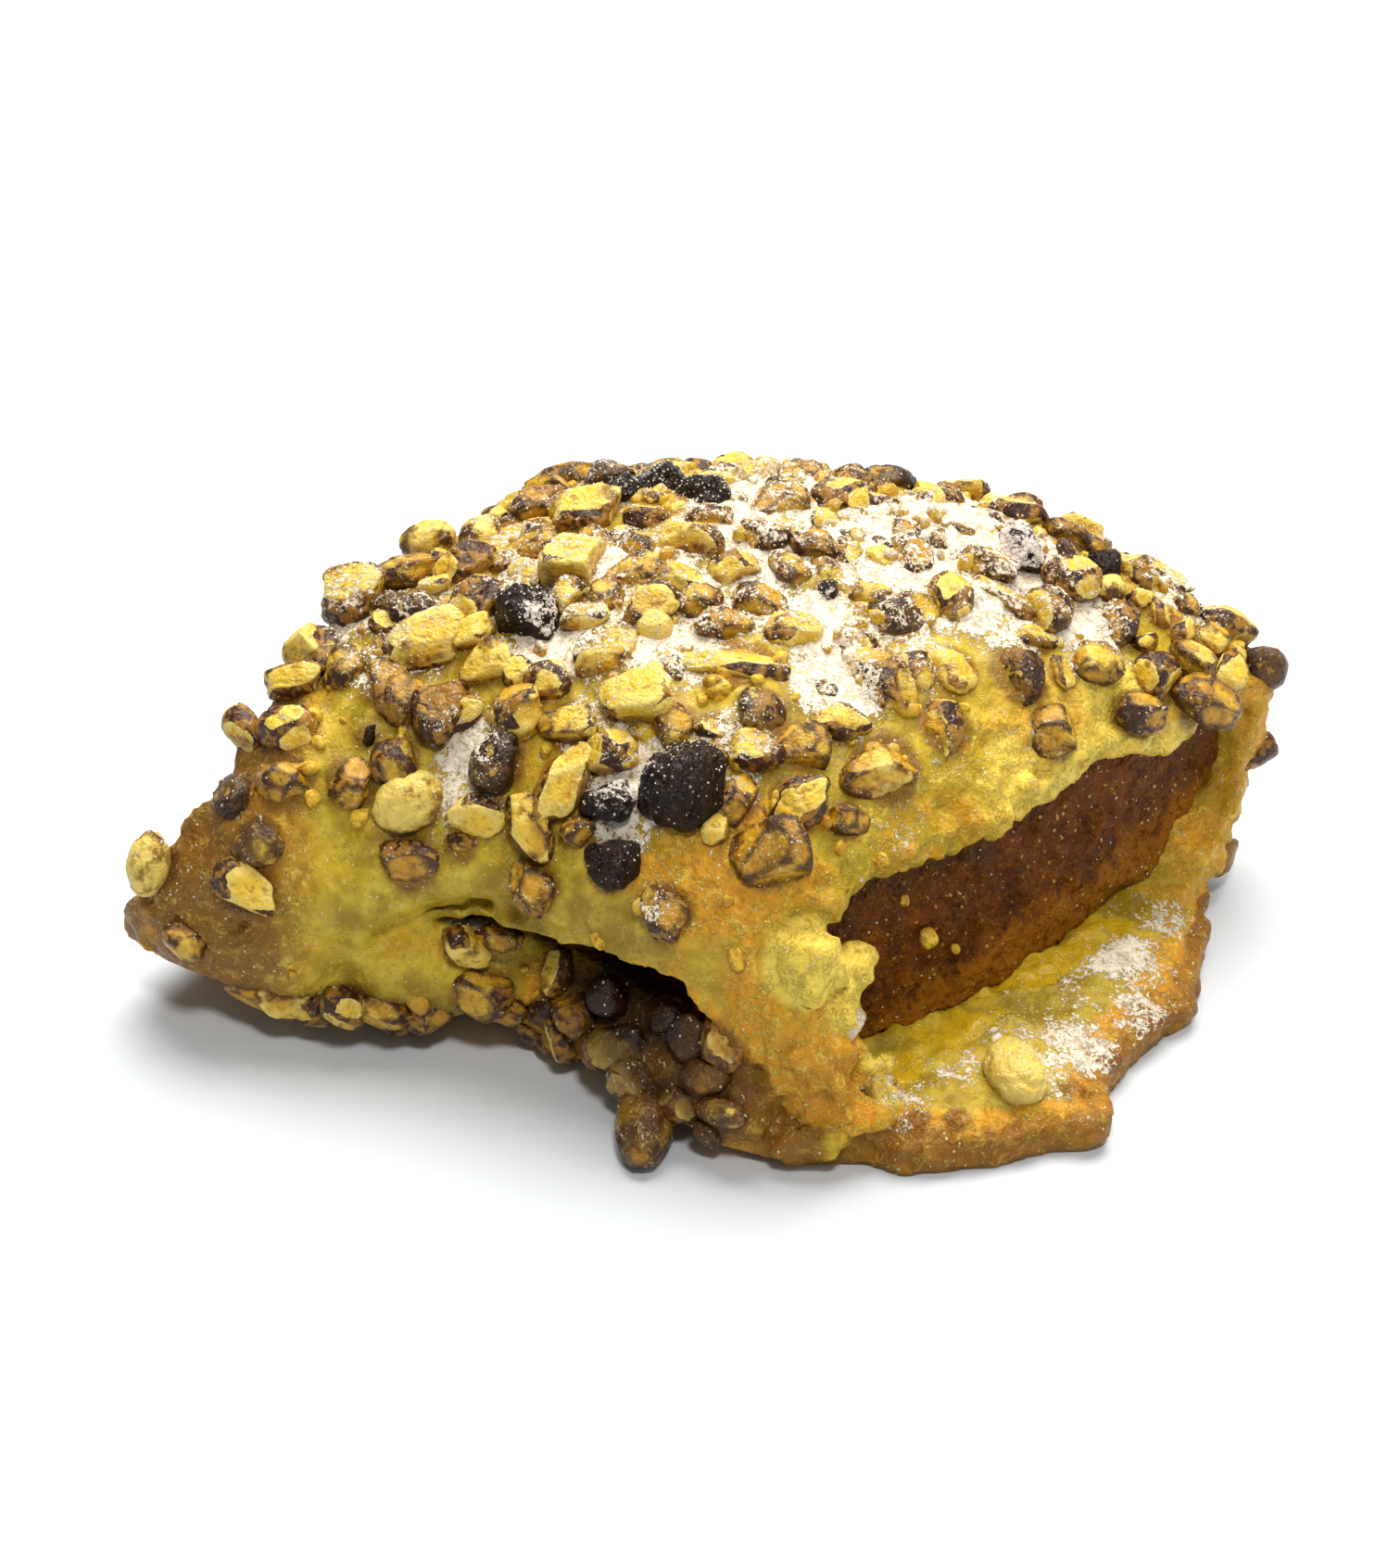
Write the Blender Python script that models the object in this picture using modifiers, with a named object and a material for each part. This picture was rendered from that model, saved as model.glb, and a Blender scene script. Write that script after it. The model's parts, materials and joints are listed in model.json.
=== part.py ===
# A stuffed cookie: one sheet of shortcrust dough with chopped nuts and chocolate chips on its outside,
# folded over a dark orange filling, open at both ends. Worked in mm, turned to metres at the end.
import bpy
import bmesh
import random
import numpy as np
from mathutils import Matrix, Vector

for item in list(bpy.data.objects):
    bpy.data.objects.remove(item, do_unlink=True)
cookie = bpy.data.collections.new("stuffedCookie")
helpers = bpy.data.collections.new("helpers")
bpy.context.scene.collection.children.link(cookie)
bpy.context.scene.collection.children.link(helpers)

# thickness of the sheet, place and direction of the opening, size of the curl at the seam
dough = {
    "thickness": 4.0,
    "rim": 2.6,
    "openX": 24.0, "openY": -9.5,
    "acrossX": 0.68, "acrossY": 0.733,
    "shear": -0.39,
    "baseRight": 17.0,
    "curlRadius": 2.0,
    "tipLift": 3.0,
    "rough": 0.35,
    "remesh": 0.85,
    "triangles": 4000,
}
filling = {
    "gap": 0.55,
    "seamInset": 3.5,
    "nearInset": 2.2,
    "farInset": 3.0,
    "remesh": 1.3,
    "triangles": 1100,
}
toppings = {
    "seed": 11,
    "corners": 12,
    "standOut": 0.30,
    "heightOfWidth": 0.46,
    "rootOfEdgePiece": 0.8,
    "spacing": 4.3,
    "mostSeeded": 70,
}

# pieces seen from the front: (place round the sheet, depth, length, width, turn)
# wrap: place in degrees round the fold; base and lip: 0 at the fold to 1 at the seam
seenPieces = {
    "wrap pale": [
        (429, -1, 5, 4, 110), (441, 1, 4, 3, 140), (419, 2, 3.5, 3.5, 140), (449, 3, 4, 4, 140), (440, 5, 3.5, 3.5, 140),
        (463, 6.5, 6.5, 3.5, 160), (402, 9, 4, 3, 130), (469, 10.5, 4, 3, 130), (485, 11, 4, 2.5, 20), (515, 11, 4, 3, 60),
        (452, 11, 7, 4, 90), (452, 17, 4, 3.5, 130), (462, 17.5, 7.5, 3, 130), (477, 20.5, 5, 4, 130), (519, 20.5, 4, 3, 60),
        (456, 20.5, 4, 3, 120), (498, 21, 6, 3, 0), (508, 22, 5, 3, 40), (449, 24.5, 4, 3, 0), (471, 25, 4.5, 3.5, 140),
        (508, 26.5, 4, 3, 90), (487, 27.5, 4.5, 4, 70), (452, 29, 4, 3, 120), (447, 29, 5, 3.5, 120), (449, 31, 3.5, 3, 40),
        (479, 32, 4, 3, 130), (505, 32, 5, 4, 140), (502, 36, 4, 3, 20), (475, 37, 5.5, 4, 140), (515, 40, 4, 3, 130),
        (523, 40, 5, 3, 80), (504, 40, 4.5, 3.5, 130), (412, 40.5, 3, 2.5, 130), (540, 43.5, 3.5, 2.5, 70), (458, 44.5, 5.5, 3, 140),
        (479, 45.5, 4, 3.5, 130), (413, 46.5, 6, 3, 130), (524, 47, 4.5, 3, 10), (447, 47, 4, 3, 140)
    ],
    "wrap brown": [
        (351, -1, 4, 4, 80), (385, 3.5, 4.5, 4, 130), (452, 6.5, 5, 3, 50), (479, 8, 4.5, 3.5, 170), (391, 8, 4.5, 3, 130),
        (461, 10, 4, 3, 120), (427, 10, 4.5, 3.5, 140), (475, 12, 4, 3, 120), (436, 14, 5, 3, 120), (407, 17.5, 5.5, 3, 130),
        (430, 25, 4.5, 3.5, 150), (445, 25.5, 4, 3, 120), (480, 27, 3.5, 3, 130), (516, 30.5, 4.5, 3, 110), (498, 34, 3.5, 3.5, 120),
        (466, 36.5, 4.5, 3.5, 170), (443, 38, 5.5, 4, 130), (495, 42, 4.5, 3.5, 120), (496, 45.5, 4, 2.5, 70), (467, 46, 5, 4.5, 120)
    ],
    "wrap chocolate": [
        (317, -1.5, 3.5, 2, 160), (382, -1, 3.5, 3.5, 130), (448, 6.5, 5, 3.5, 50), (412, 10, 2.5, 3, 140), (468, 13.5, 3.5, 3.5, 130),
        (489, 14, 6, 6.5, 130), (510, 15.5, 4, 3.5, 110), (499, 17.5, 4, 3, 140), (449, 18.5, 2, 2.5, 130), (497, 27, 4.5, 3.5, 10),
        (468, 32, 4.5, 4.5, 130), (409, 35, 4, 2, 130), (431, 37, 4.5, 4, 130), (436, 38, 3.5, 3.5, 130), (508, 43, 3, 3, 180),
        (479, 44.5, 5, 2.5, 60)
    ],
    "base pale": [
        (0.93, 4, 4, 2, 100), (0.88, 11.5, 4, 3, 60), (0.91, 13.5, 4, 3, 120), (0.91, 18.5, 3.5, 3, 70), (0.90, 27, 4.5, 3.5, 70),
        (0.98, 28, 3.5, 3, 80), (0.75, 38, 4, 3, 60)
    ],
    "base brown": [
        (1.00, 4.5, 4, 3.5, 60), (0.88, 8, 4, 2.5, 100), (0.85, 11.5, 5, 3.5, 40), (0.69, 31.5, 4, 3, 50)
    ],
    "base chocolate": [
        (0.92, 6, 3.5, 2.5, 120), (0.94, 8.5, 3.5, 3.5, 120), (0.96, 16.5, 3, 3, 120)
    ],
    "lip pale": [
        (0.74, -8, 6, 4, 60)
    ],
    "edge brown": [
        (0.867, 10.5, 8, 4, -35)
    ],
}
colours = {
    # base colour, roughness
    "crust": ((0.60, 0.42, 0.15), 0.80),
    "filling": ((0.16, 0.05, 0.012), 0.35),
}


def ease(x, a, b):
    t = np.clip((x - a) / (b - a), 0, 1)
    return t * t * (3 - 2 * t)


def key(x, xs, ys):
    # smooth curve through stations
    xs, ys = np.asarray(xs, float), np.asarray(ys, float)
    slope = np.gradient(ys, xs)
    x = np.clip(x, xs[0], xs[-1])
    i = np.clip(np.searchsorted(xs, x) - 1, 0, len(xs) - 2)
    h = xs[i + 1] - xs[i]
    t = (x - xs[i]) / h
    return ((2*t**3 - 3*t*t + 1) * ys[i] + (t**3 - 2*t*t + t) * h * slope[i]
            + (3*t*t - 2*t**3) * ys[i + 1] + (t**3 - t*t) * h * slope[i + 1])


def waves(a, b, size):
    # low unevenness of hand-rolled dough
    return size * (np.sin(a*1.0 + b*0.7 + 0.4) + 0.7*np.sin(a*2.3 - b*1.1 + 2.1)
                   + 0.5*np.sin(a*0.6 + b*2.9 + 4.0) + 0.4*np.sin(a*4.1 + b*3.7 + 1.3))


def place(p, d, z):
    # p across the opening (seam negative), d inwards, z up
    n = np.hypot(dough["acrossX"], dough["acrossY"])
    ax, ay = dough["acrossX"] / n, dough["acrossY"] / n
    p = p + dough["shear"] * np.clip(d, -4, 100)
    x = dough["openX"] + p * ax - d * ay
    y = dough["openY"] + p * ay + d * ax
    return np.stack([x, y, z + dough["tipLift"] * ease(-x, 20, 45)], -1)


def tube(phi, d):
    # section of the folded sheet: 270 below, 360 fold, 450 top, 540 seam side
    mid0 = dough["thickness"] / 2
    c, s = np.cos(np.radians(phi)), np.sin(np.radians(phi))
    left, up = c < 0, s > 0
    top = key(d, [-15, 0, 8, 20, 32, 42, 50, 56], [15, 20.3, 26.2, 30.2, 30.8, 28.6, 25.5, 19]) - mid0
    nLeft = key(d, [0, 15, 30, 50], [3.0, 2.8, 2.0, 1.5])
    nRight = key(d, [0, 12, 30, 50], [4.8, 4.4, 3.6, 2.8])
    nLow = key(d, [0, 8, 20], [5, 4, 3.2])
    n = np.where(up, np.where(left, nLeft, nRight), np.where(left, nLow, 2.6))
    mid = np.where(left, key(d, [0, 25, 50], [8.5, 8.0, 6.0]), 13.0)
    z = np.where(up, mid + (top - mid) * np.abs(s)**(2/n), mid - (mid - mid0) * np.abs(s)**(2/n))
    rightHalf = key(d, [0, 10, 30, 50, 56], [25, 27, 27, 25, 22])
    leftHalf = key(d, [-5, 0, 7, 18, 25, 31, 36, 45, 52, 56],
                   [24.5, 24.5, 24.5, 23.5, 22.5, 23.5, 25.5, 26.5, 24, 21])
    return np.where(left, leftHalf, rightHalf) * np.sign(c) * np.abs(c)**(2/n), z


def wrapAt(phi, d):
    p, z = tube(phi, d)
    return place(p, d, z)


def wrapNear(phi):
    return key(phi, [285, 300, 320, 345, 395, 430, 470, 500, 512, 525, 540, 560, 600],
               [-5, -3, -1.5, -1, -1.5, -1, 1.4, 2.8, 1.8, -0.5, -2.5, -3, -3])


def wrapFar(phi):
    return key(phi, [285, 360, 400, 450, 490, 515, 530, 545, 600], [52, 52, 49.5, 47, 45.5, 46, 47.5, 48.5, 46])


def wrapEnd(v):
    # where the flap's edge lies: pressed on the lip, hanging over the seam, then closed to the tip
    return key(v, [0, 0.09, 0.115, 0.14, 0.19, 0.29, 0.41, 0.55, 0.66, 0.76, 0.85, 1],
               [592, 588, 568, 547, 534, 531, 530.5, 529, 534, 556, 566, 568])


def baseAt(u, d):
    # flat layer below; at the seam its edge curls up under the flap
    r, right, mid0 = dough["curlRadius"], dough["baseRight"], dough["thickness"] / 2
    half = key(d, [-15, -8, 0, 5, 12, 18, 25, 31], [24, 25.5, 27.2, 26.2, 23.6, 21, 18.5, 18.5])
    curl = np.radians(key(d, [-12, -4, 0, 4, 15, 24, 33], [5, 10, 40, 116, 124, 112, 95]))
    lean = key(d, [-8, 0, 4, 15, 24, 36], [0, 0, 3, 3.8, 4, 4])
    t = u * (right + half - r + r * curl + lean) - right
    turn = np.clip((t - (half - r)) / r, 0, curl)
    rest = np.clip(t - (half - r) - r * curl, 0, 99)
    p = -np.minimum(t, half - r) - r * np.sin(turn) - rest * np.cos(curl)
    z = mid0 + r * (1 - np.cos(turn)) + rest * np.sin(curl)
    pTube, zTube = tube(296 - 126 * u, d)
    w = ease(d, 21, 33)
    return place(p * (1-w) + pTube * w, d, z * (1-w) + zTube * w)


def baseNear(u):
    # the lip that sticks out in front of the filling
    return key(u, [0, 0.07, 0.14, 0.27, 0.36, 0.44, 0.52, 0.64, 0.73, 0.79, 0.87, 0.94, 1],
               [-3, -4.6, -6.4, -9.5, -10.4, -10.6, -10.9, -12.8, -14.6, -13.1, -11.3, -9.2, -6.8])


def baseFar(u):
    return key(u, [0, 0.6, 0.8, 1], [52, 51, 50, 48])


def gridNormals(points):
    n = np.cross(np.gradient(points, axis=0), np.gradient(points, axis=1))
    return n / (np.linalg.norm(n, axis=-1, keepdims=True) + 1e-9)


def meshObject(name, verts, faces):
    mesh = bpy.data.meshes.new(name)
    mesh.from_pydata([tuple(v) for v in verts], [], faces)
    mesh.update()
    made = bpy.data.objects.new(name, mesh)
    helpers.objects.link(made)
    return made


def shell(name, middle, thick, full):
    # open sheet through the dough's middle, thickened by Solidify, thinner at its rim
    nu, nv = middle.shape[:2]
    faces = [(i*nv + j, (i+1)*nv + j, (i+1)*nv + j + 1, i*nv + j + 1) for i in range(nu - 1) for j in range(nv - 1)]
    made = meshObject(name, middle.reshape(-1, 3), faces)
    share = made.vertex_groups.new(name="thickness")
    for i, t in enumerate(thick.reshape(-1)):
        share.add([i], float(t) / full, "REPLACE")
    mod = made.modifiers.new("thick", "SOLIDIFY")
    mod.thickness = full
    mod.offset = 0
    mod.vertex_group = share.name
    apply(made)
    fixNormals(made)
    return made


def fixNormals(item):
    bm = bmesh.new()
    bm.from_mesh(item.data)
    bmesh.ops.recalc_face_normals(bm, faces=bm.faces)
    bm.to_mesh(item.data)
    bm.free()


def wrapSheet(nu, nv):
    u = np.linspace(0, 1, nu)[:, None] * np.ones((1, nv))
    v = (np.linspace(0, 1, nv)**1.5)[None, :] * np.ones((nu, 1))
    phi = 285 + (wrapEnd(v) - 285) * u
    near, far = wrapNear(phi), wrapFar(phi)
    near = near + waves(phi * 0.11, 0, 0.22)
    far = far + waves(phi * 0.13, 3, 0.3)
    d = near + (far - near) * v
    rim = np.minimum(np.minimum(d - near, far - d), (1 - u) * 0.35 * (wrapEnd(v) - 285))
    return wrapAt(phi, d), phi, d, rim


def baseSheet(nu, nv):
    u = np.linspace(0, 1, nu)[:, None] * np.ones((1, nv))
    v = (np.linspace(0, 1, nv)**1.2)[None, :] * np.ones((nu, 1))
    near, far = baseNear(u), baseFar(u)
    near = near + waves(u * 14, 1, 0.28)
    far = far + waves(u * 12, 5, 0.3)
    d = near + (far - near) * v
    rim = np.minimum(np.minimum(d - near, far - d), (1 - u) * 40)
    return baseAt(u, d), u, d, rim


def sheetThickness(rim, extra):
    return (dough["rim"] + (dough["thickness"] - dough["rim"]) * ease(rim, 0, 5)) + 2 * extra


def apply(item):
    # keep the evaluated mesh
    graph = bpy.context.evaluated_depsgraph_get()
    mesh = bpy.data.meshes.new_from_object(item.evaluated_get(graph), preserve_all_data_layers=False, depsgraph=graph)
    item.modifiers.clear()
    old = item.data
    item.data = mesh
    bpy.data.meshes.remove(old)


def join(name, items):
    verts, faces, start = [], [], 0
    for item in items:
        verts += [tuple(v.co) for v in item.data.vertices]
        faces += [tuple(start + i for i in p.vertices) for p in item.data.polygons]
        start += len(item.data.vertices)
        bpy.data.objects.remove(item, do_unlink=True)
    return meshObject(name, verts, faces)


def largestPart(item):
    bm = bmesh.new()
    bm.from_mesh(item.data)
    left, parts = set(bm.verts), []
    while left:
        stack, part = [left.pop()], []
        while stack:
            v = stack.pop()
            part.append(v)
            for e in v.link_edges:
                o = e.other_vert(v)
                if o in left:
                    left.remove(o)
                    stack.append(o)
        parts.append(part)
    parts.sort(key=len, reverse=True)
    for part in parts[1:]:
        bmesh.ops.delete(bm, geom=part, context="VERTS")
    bm.to_mesh(item.data)
    bm.free()


def fuseSheets(name, extra, voxel):
    pieces = []
    for label, sheet, upIndex in (("wrap", wrapSheet, 1), ("base", baseSheet, -1)):
        middle, a, d, rim = sheet(110, 90)
        outward = gridNormals(middle)
        if outward[55 if label == "wrap" else 20, 45, 2] * upIndex < 0:
            outward = -outward
        thick = sheetThickness(rim, extra)
        if label == "base":
            # the thinner rim still lies on the table
            middle = middle - np.stack([0*d, 0*d, (dough["thickness"] + 2*extra - thick) / 2
                                        * ease(-outward[..., 2], 0.5, 0.95)], -1)
            bump = 0 * d
        else:
            bump = waves(phiArc(a), d * 0.16, dough["rough"]) * ease(rim, 0, 6)
        middle = middle + outward * bump[..., None]
        pieces.append(shell(label, middle, thick, dough["thickness"] + 2*extra))
    fused = join(name, pieces)
    remesh(fused, voxel)
    largestPart(fused)
    return fused


def remesh(item, voxel):
    mod = item.modifiers.new("fuse", "REMESH")
    mod.mode = "VOXEL"
    mod.voxel_size = voxel
    apply(item)


def phiArc(phi):
    return phi * 0.055


def thin(item, target):
    count = sum(len(p.vertices) - 2 for p in item.data.polygons)
    mod = item.modifiers.new("thin", "DECIMATE")
    mod.ratio = min(1.0, target / count)
    mod.use_collapse_triangulate = True
    apply(item)


def boolean(item, other, operation):
    mod = item.modifiers.new("cut", "BOOLEAN")
    mod.operation = operation
    mod.solver = "EXACT"
    if isinstance(other, bpy.types.Collection):
        mod.operand_type = "COLLECTION"
        mod.collection = other
    else:
        mod.object = other
    apply(item)


def box(name, low, high):
    verts = [(x, y, z) for x in (low[0], high[0]) for y in (low[1], high[1]) for z in (low[2], high[2])]
    faces = [(0, 1, 3, 2), (4, 6, 7, 5), (0, 4, 5, 1), (2, 3, 7, 6), (0, 2, 6, 4), (1, 5, 7, 3)]
    made = meshObject(name, verts, faces)
    fixNormals(made)
    return made


def surfaceFrame(kind, a, d):
    # point on the outside of the dough, outward direction, direction round the sheet
    at, step = (wrapAt, 0.5) if kind == "wrap" else (baseAt, 0.004)
    one = np.array
    p = at(one(a), one(d))
    round_ = at(one(a + step), one(d)) - at(one(a - step), one(d))
    inwards = at(one(a), one(d + 0.3)) - at(one(a), one(d - 0.3))
    n = np.cross(round_, inwards)
    n /= np.linalg.norm(n)
    if kind == "wrap":
        centre = at(one(360.0), one(d)) * 0.5 + at(one(540.0), one(d)) * 0.5
        if np.dot(n, p - centre) < 0:
            n = -n
    elif kind in ("base", "edge"):
        # outside is below, and turned to the seam where the edge curls up
        if np.dot(n, p - (place(one(-12.0), one(d), one(9.0)))) < 0:
            n = -n
    else:
        if n[2] < 0:
            n = -n
    round_ = round_ - n * np.dot(round_, n)
    round_ /= np.linalg.norm(round_)
    return p + n * dough["thickness"] / 2, n, round_


def bit(name, kind, a, d, long, wide, turn, dice):
    # one chopped nut or chip: a jittered many-cornered lump half sunk in the dough
    p, n, e1 = surfaceFrame(kind, a, d)
    e2 = np.cross(n, e1)
    c, s = np.cos(np.radians(turn)), np.sin(np.radians(turn))
    ax, ay = e1 * c + e2 * s, -e1 * s + e2 * c
    high = wide * toppings["heightOfWidth"]
    centre = p + n * high * toppings["standOut"]
    if kind == "edge":
        # standing out from the rim by its length
        ax, ay, n = n * c + e2 * s, n * s - e2 * c, e1
        centre = p + ax * (long / 2 - toppings["rootOfEdgePiece"])
    corners = toppings["corners"]
    bm = bmesh.new()
    for k in range(corners):
        z = 1 - 2 * (k + 0.5) / corners
        r, t = (1 - z*z)**0.5, k * 2.39996 + dice.uniform(-0.35, 0.35)
        q = dice.uniform(0.86, 1.08)
        x, y, z = r * np.cos(t) * q, r * np.sin(t) * q, z * q
        co = centre + ax * x * long / 2 + ay * y * wide / 2 + n * z * high
        bm.verts.new(Vector(co))
    bmesh.ops.convex_hull(bm, input=bm.verts)
    loose = [v for v in bm.verts if not v.link_faces]
    bmesh.ops.delete(bm, geom=loose, context="VERTS")
    bmesh.ops.recalc_face_normals(bm, faces=bm.faces)
    mesh = bpy.data.meshes.new(name)
    bm.to_mesh(mesh)
    bm.free()
    return bpy.data.objects.new(name, mesh), centre


def bareThere(phi, d):
    # dough left bare: the strip over the opening, the pressed corner, the hollow before the tip
    return (d < 6 and 432 < phi < 500) or (d < 18 and phi > 494) or (phi > 506 and 16 < d < 46) or phi > 528


def toppingPieces(group):
    dice = random.Random(toppings["seed"])
    rows = []
    for label, pieces in seenPieces.items():
        kind = label.split()[0]
        for a, d, long, wide, turn in pieces:
            rows.append((kind, a, d, long, wide, turn))
    rows.sort(key=lambda r: -r[3] * r[4])
    centres, count = [], 0
    for k, row in enumerate(rows):
        made, centre = bit("seen%03d" % k, *row, dice)
        group.objects.link(made)
        centres.append(centre)
    tries = 0
    while count < toppings["mostSeeded"] and tries < 6000:
        tries += 1
        if dice.random() < 0.86:
            kind, a = "wrap", dice.uniform(312, 540)
            d = dice.uniform(float(wrapNear(a)) + 2.2, float(wrapFar(a)) - 1.6)
            if bareThere(a, d):
                continue
        else:
            kind, a = "base", dice.uniform(0.66, 0.9)
            d = dice.uniform(5, 44)
        long = dice.uniform(3.6, 5.4)
        wide = long * dice.uniform(0.62, 0.86)
        p, n, e = surfaceFrame(kind, a, d)
        # the front of the wing is left to the pieces seen on it
        if p[2] < 2.5 or (kind == "base" and p[0] < -7) or min(np.linalg.norm(p - c) for c in centres) < toppings["spacing"]:
            continue
        made, centre = bit("seeded%03d" % count, kind, a, d, long, wide, dice.uniform(0, 180), dice)
        group.objects.link(made)
        centres.append(centre)
        count += 1
    print("toppings", len(rows), count, tries)


def fillingCore():
    # loops along the depth: over the wrap from the fold to the seam, back along the base
    phis = np.linspace(304, 514, 54)
    us = np.linspace(0.97, 0.06, 40)
    def ring(v):
        d1 = (wrapNear(phis) + filling["nearInset"]) * (1 - v) + (wrapFar(phis) - filling["farInset"]) * v
        a = wrapAt(phis, d1)
        d2 = 0.4 * (1 - v) + (baseFar(us) - filling["farInset"]) * v
        b = baseAt(us, np.maximum(d2, 5.0 * ease(us, 0.62, 0.86)))
        loop = np.concatenate([a, b])
        # draw the seam side in, so that a dark hollow stays under the flap
        d = np.concatenate([d1, d2])
        side = ease(np.concatenate([phis, 270 + 0*us]), 486, 514) + ease(np.concatenate([0*phis, us]), 0.6, 0.9)
        n = np.hypot(dough["acrossX"], dough["acrossY"])
        side = side * filling["seamInset"] * ease(d, 4, 10) * (1 - ease(d, 24, 34))
        loop[:, 0] += side * dough["acrossX"] / n
        loop[:, 1] += side * dough["acrossY"] / n
        return loop
    rings = [ring(v) for v in np.linspace(0, 1, 46)]
    into = (rings[1] - rings[0]).mean(0)
    into /= np.linalg.norm(into)
    caps = []
    for edge, sign in ((rings[0], -1), (rings[-1], 1)):
        centre = edge.mean(0)
        steps = []
        for k in (0.75, 0.5, 0.25):
            bulge = 1.4 * (1 - k*k) + 0.5 * np.sin(edge[:, 0] * 0.5 + edge[:, 2] * 0.7) * (1 - k)
            steps.append(centre + (edge - centre) * k + into * sign * bulge[:, None])
        caps.append((steps, centre + into * sign * 1.4))
    stack = caps[0][0][::-1] + rings + caps[1][0]
    m = len(rings[0])
    verts = np.concatenate(stack + [np.array([caps[0][1], caps[1][1]])])
    faces = []
    for i in range(len(stack) - 1):
        for j in range(m):
            k = (j + 1) % m
            faces.append((i*m + j, i*m + k, (i+1)*m + k, (i+1)*m + j))
    first, last = len(stack) * m, len(stack) * m + 1
    for j in range(m):
        k = (j + 1) % m
        faces.append((first, k, j))
        faces.append((last, (len(stack)-1)*m + j, (len(stack)-1)*m + k))
    made = meshObject("filling", verts, faces)
    fixNormals(made)
    return made


crust = fuseSheets("crust", 0.0, dough["remesh"])
thin(crust, dough["triangles"])
print("sheet", len(crust.data.polygons))

core = fillingCore()
remesh(core, 0.8)
room = fuseSheets("room", filling["gap"], 0.7)
boolean(core, room, "DIFFERENCE")
bpy.data.objects.remove(room, do_unlink=True)
largestPart(core)
remesh(core, 0.55)
largestPart(core)
thin(core, filling["triangles"])
print("filling", len(core.data.polygons))

group = bpy.data.collections.new("bits")
bpy.context.scene.collection.children.link(group)
toppingPieces(group)
boolean(crust, group, "UNION")
for item in list(group.objects):
    bpy.data.objects.remove(item, do_unlink=True)
bpy.data.collections.remove(group)

floorCut = box("floorCut", (-80, -80, -20), (80, 80, 0.12))
boolean(crust, floorCut, "DIFFERENCE")
bpy.data.objects.remove(floorCut, do_unlink=True)
largestPart(crust)
tri = bmesh.new()
tri.from_mesh(crust.data)
bmesh.ops.triangulate(tri, faces=tri.faces)
tri.to_mesh(crust.data)
tri.free()
print("crust", len(crust.data.polygons))

# bottom centre to the origin, millimetres to metres
co = np.array([v.co for v in crust.data.vertices])
low, high = co.min(0), co.max(0)
shift = Vector((-(low[0] + high[0]) / 2, -(low[1] + high[1]) / 2, -low[2]))
for item in (crust, core):
    item.data.transform(Matrix.Scale(0.001, 4) @ Matrix.Translation(shift))
    item.data.update()
for item, name in ((core, "filling"), (crust, "crust")):
    item.name = name
    helpers.objects.unlink(item)
    cookie.objects.link(item)
    colour, rough = colours[name]
    look = bpy.data.materials.new(name)
    look.use_nodes = True
    shader = look.node_tree.nodes["Principled BSDF"]
    shader.inputs["Base Color"].default_value = (*colour, 1)
    shader.inputs["Roughness"].default_value = rough
    shader.inputs["Metallic"].default_value = 0
    item.data.materials.clear()
    item.data.materials.append(look)
bpy.data.collections.remove(helpers)
print("size", (high - low), "shift", tuple(shift))
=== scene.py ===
# Looks of the stuffed cookie: a folded shortcrust sheet round a dark orange filling, with chopped nuts,
# chocolate chips and powdered sugar on its outside. Shapes are worked in mm, in the sheet's own place, and
# moved to the frame at the end.
import bpy
import bmesh
import json
import random
import numpy as np
from mathutils import Matrix, Vector
from mathutils.kdtree import KDTree

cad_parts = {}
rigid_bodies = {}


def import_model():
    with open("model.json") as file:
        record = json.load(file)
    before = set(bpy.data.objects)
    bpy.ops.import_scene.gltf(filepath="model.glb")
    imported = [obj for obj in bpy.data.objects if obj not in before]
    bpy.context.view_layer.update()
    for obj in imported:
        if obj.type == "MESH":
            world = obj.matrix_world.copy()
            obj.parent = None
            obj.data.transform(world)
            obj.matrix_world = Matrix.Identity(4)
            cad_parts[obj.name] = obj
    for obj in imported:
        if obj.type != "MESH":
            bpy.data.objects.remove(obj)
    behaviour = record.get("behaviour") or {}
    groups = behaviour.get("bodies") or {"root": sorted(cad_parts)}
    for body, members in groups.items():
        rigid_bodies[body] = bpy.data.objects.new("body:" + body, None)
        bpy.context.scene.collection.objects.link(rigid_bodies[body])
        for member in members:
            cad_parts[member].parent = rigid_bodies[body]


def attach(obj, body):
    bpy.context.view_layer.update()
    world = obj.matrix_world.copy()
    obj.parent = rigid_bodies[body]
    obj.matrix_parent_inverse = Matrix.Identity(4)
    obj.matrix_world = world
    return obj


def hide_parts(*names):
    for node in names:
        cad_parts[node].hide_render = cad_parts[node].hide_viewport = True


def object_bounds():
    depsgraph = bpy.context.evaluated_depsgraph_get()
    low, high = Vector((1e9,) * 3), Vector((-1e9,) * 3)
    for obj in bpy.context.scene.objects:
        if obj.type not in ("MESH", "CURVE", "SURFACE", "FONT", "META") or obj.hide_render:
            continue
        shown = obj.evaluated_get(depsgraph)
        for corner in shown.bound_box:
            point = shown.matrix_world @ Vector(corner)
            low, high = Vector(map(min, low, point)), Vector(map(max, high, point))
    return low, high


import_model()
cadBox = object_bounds()
toFrame = np.array([-0.2824, -0.7169, -0.12])   # mm, sheet's own origin to the middle of the footprint
helpers = bpy.data.collections.new("helpers")
shown = bpy.data.collections.new("stuffedCookie")
bpy.context.scene.collection.children.link(helpers)
bpy.context.scene.collection.children.link(shown)
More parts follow.
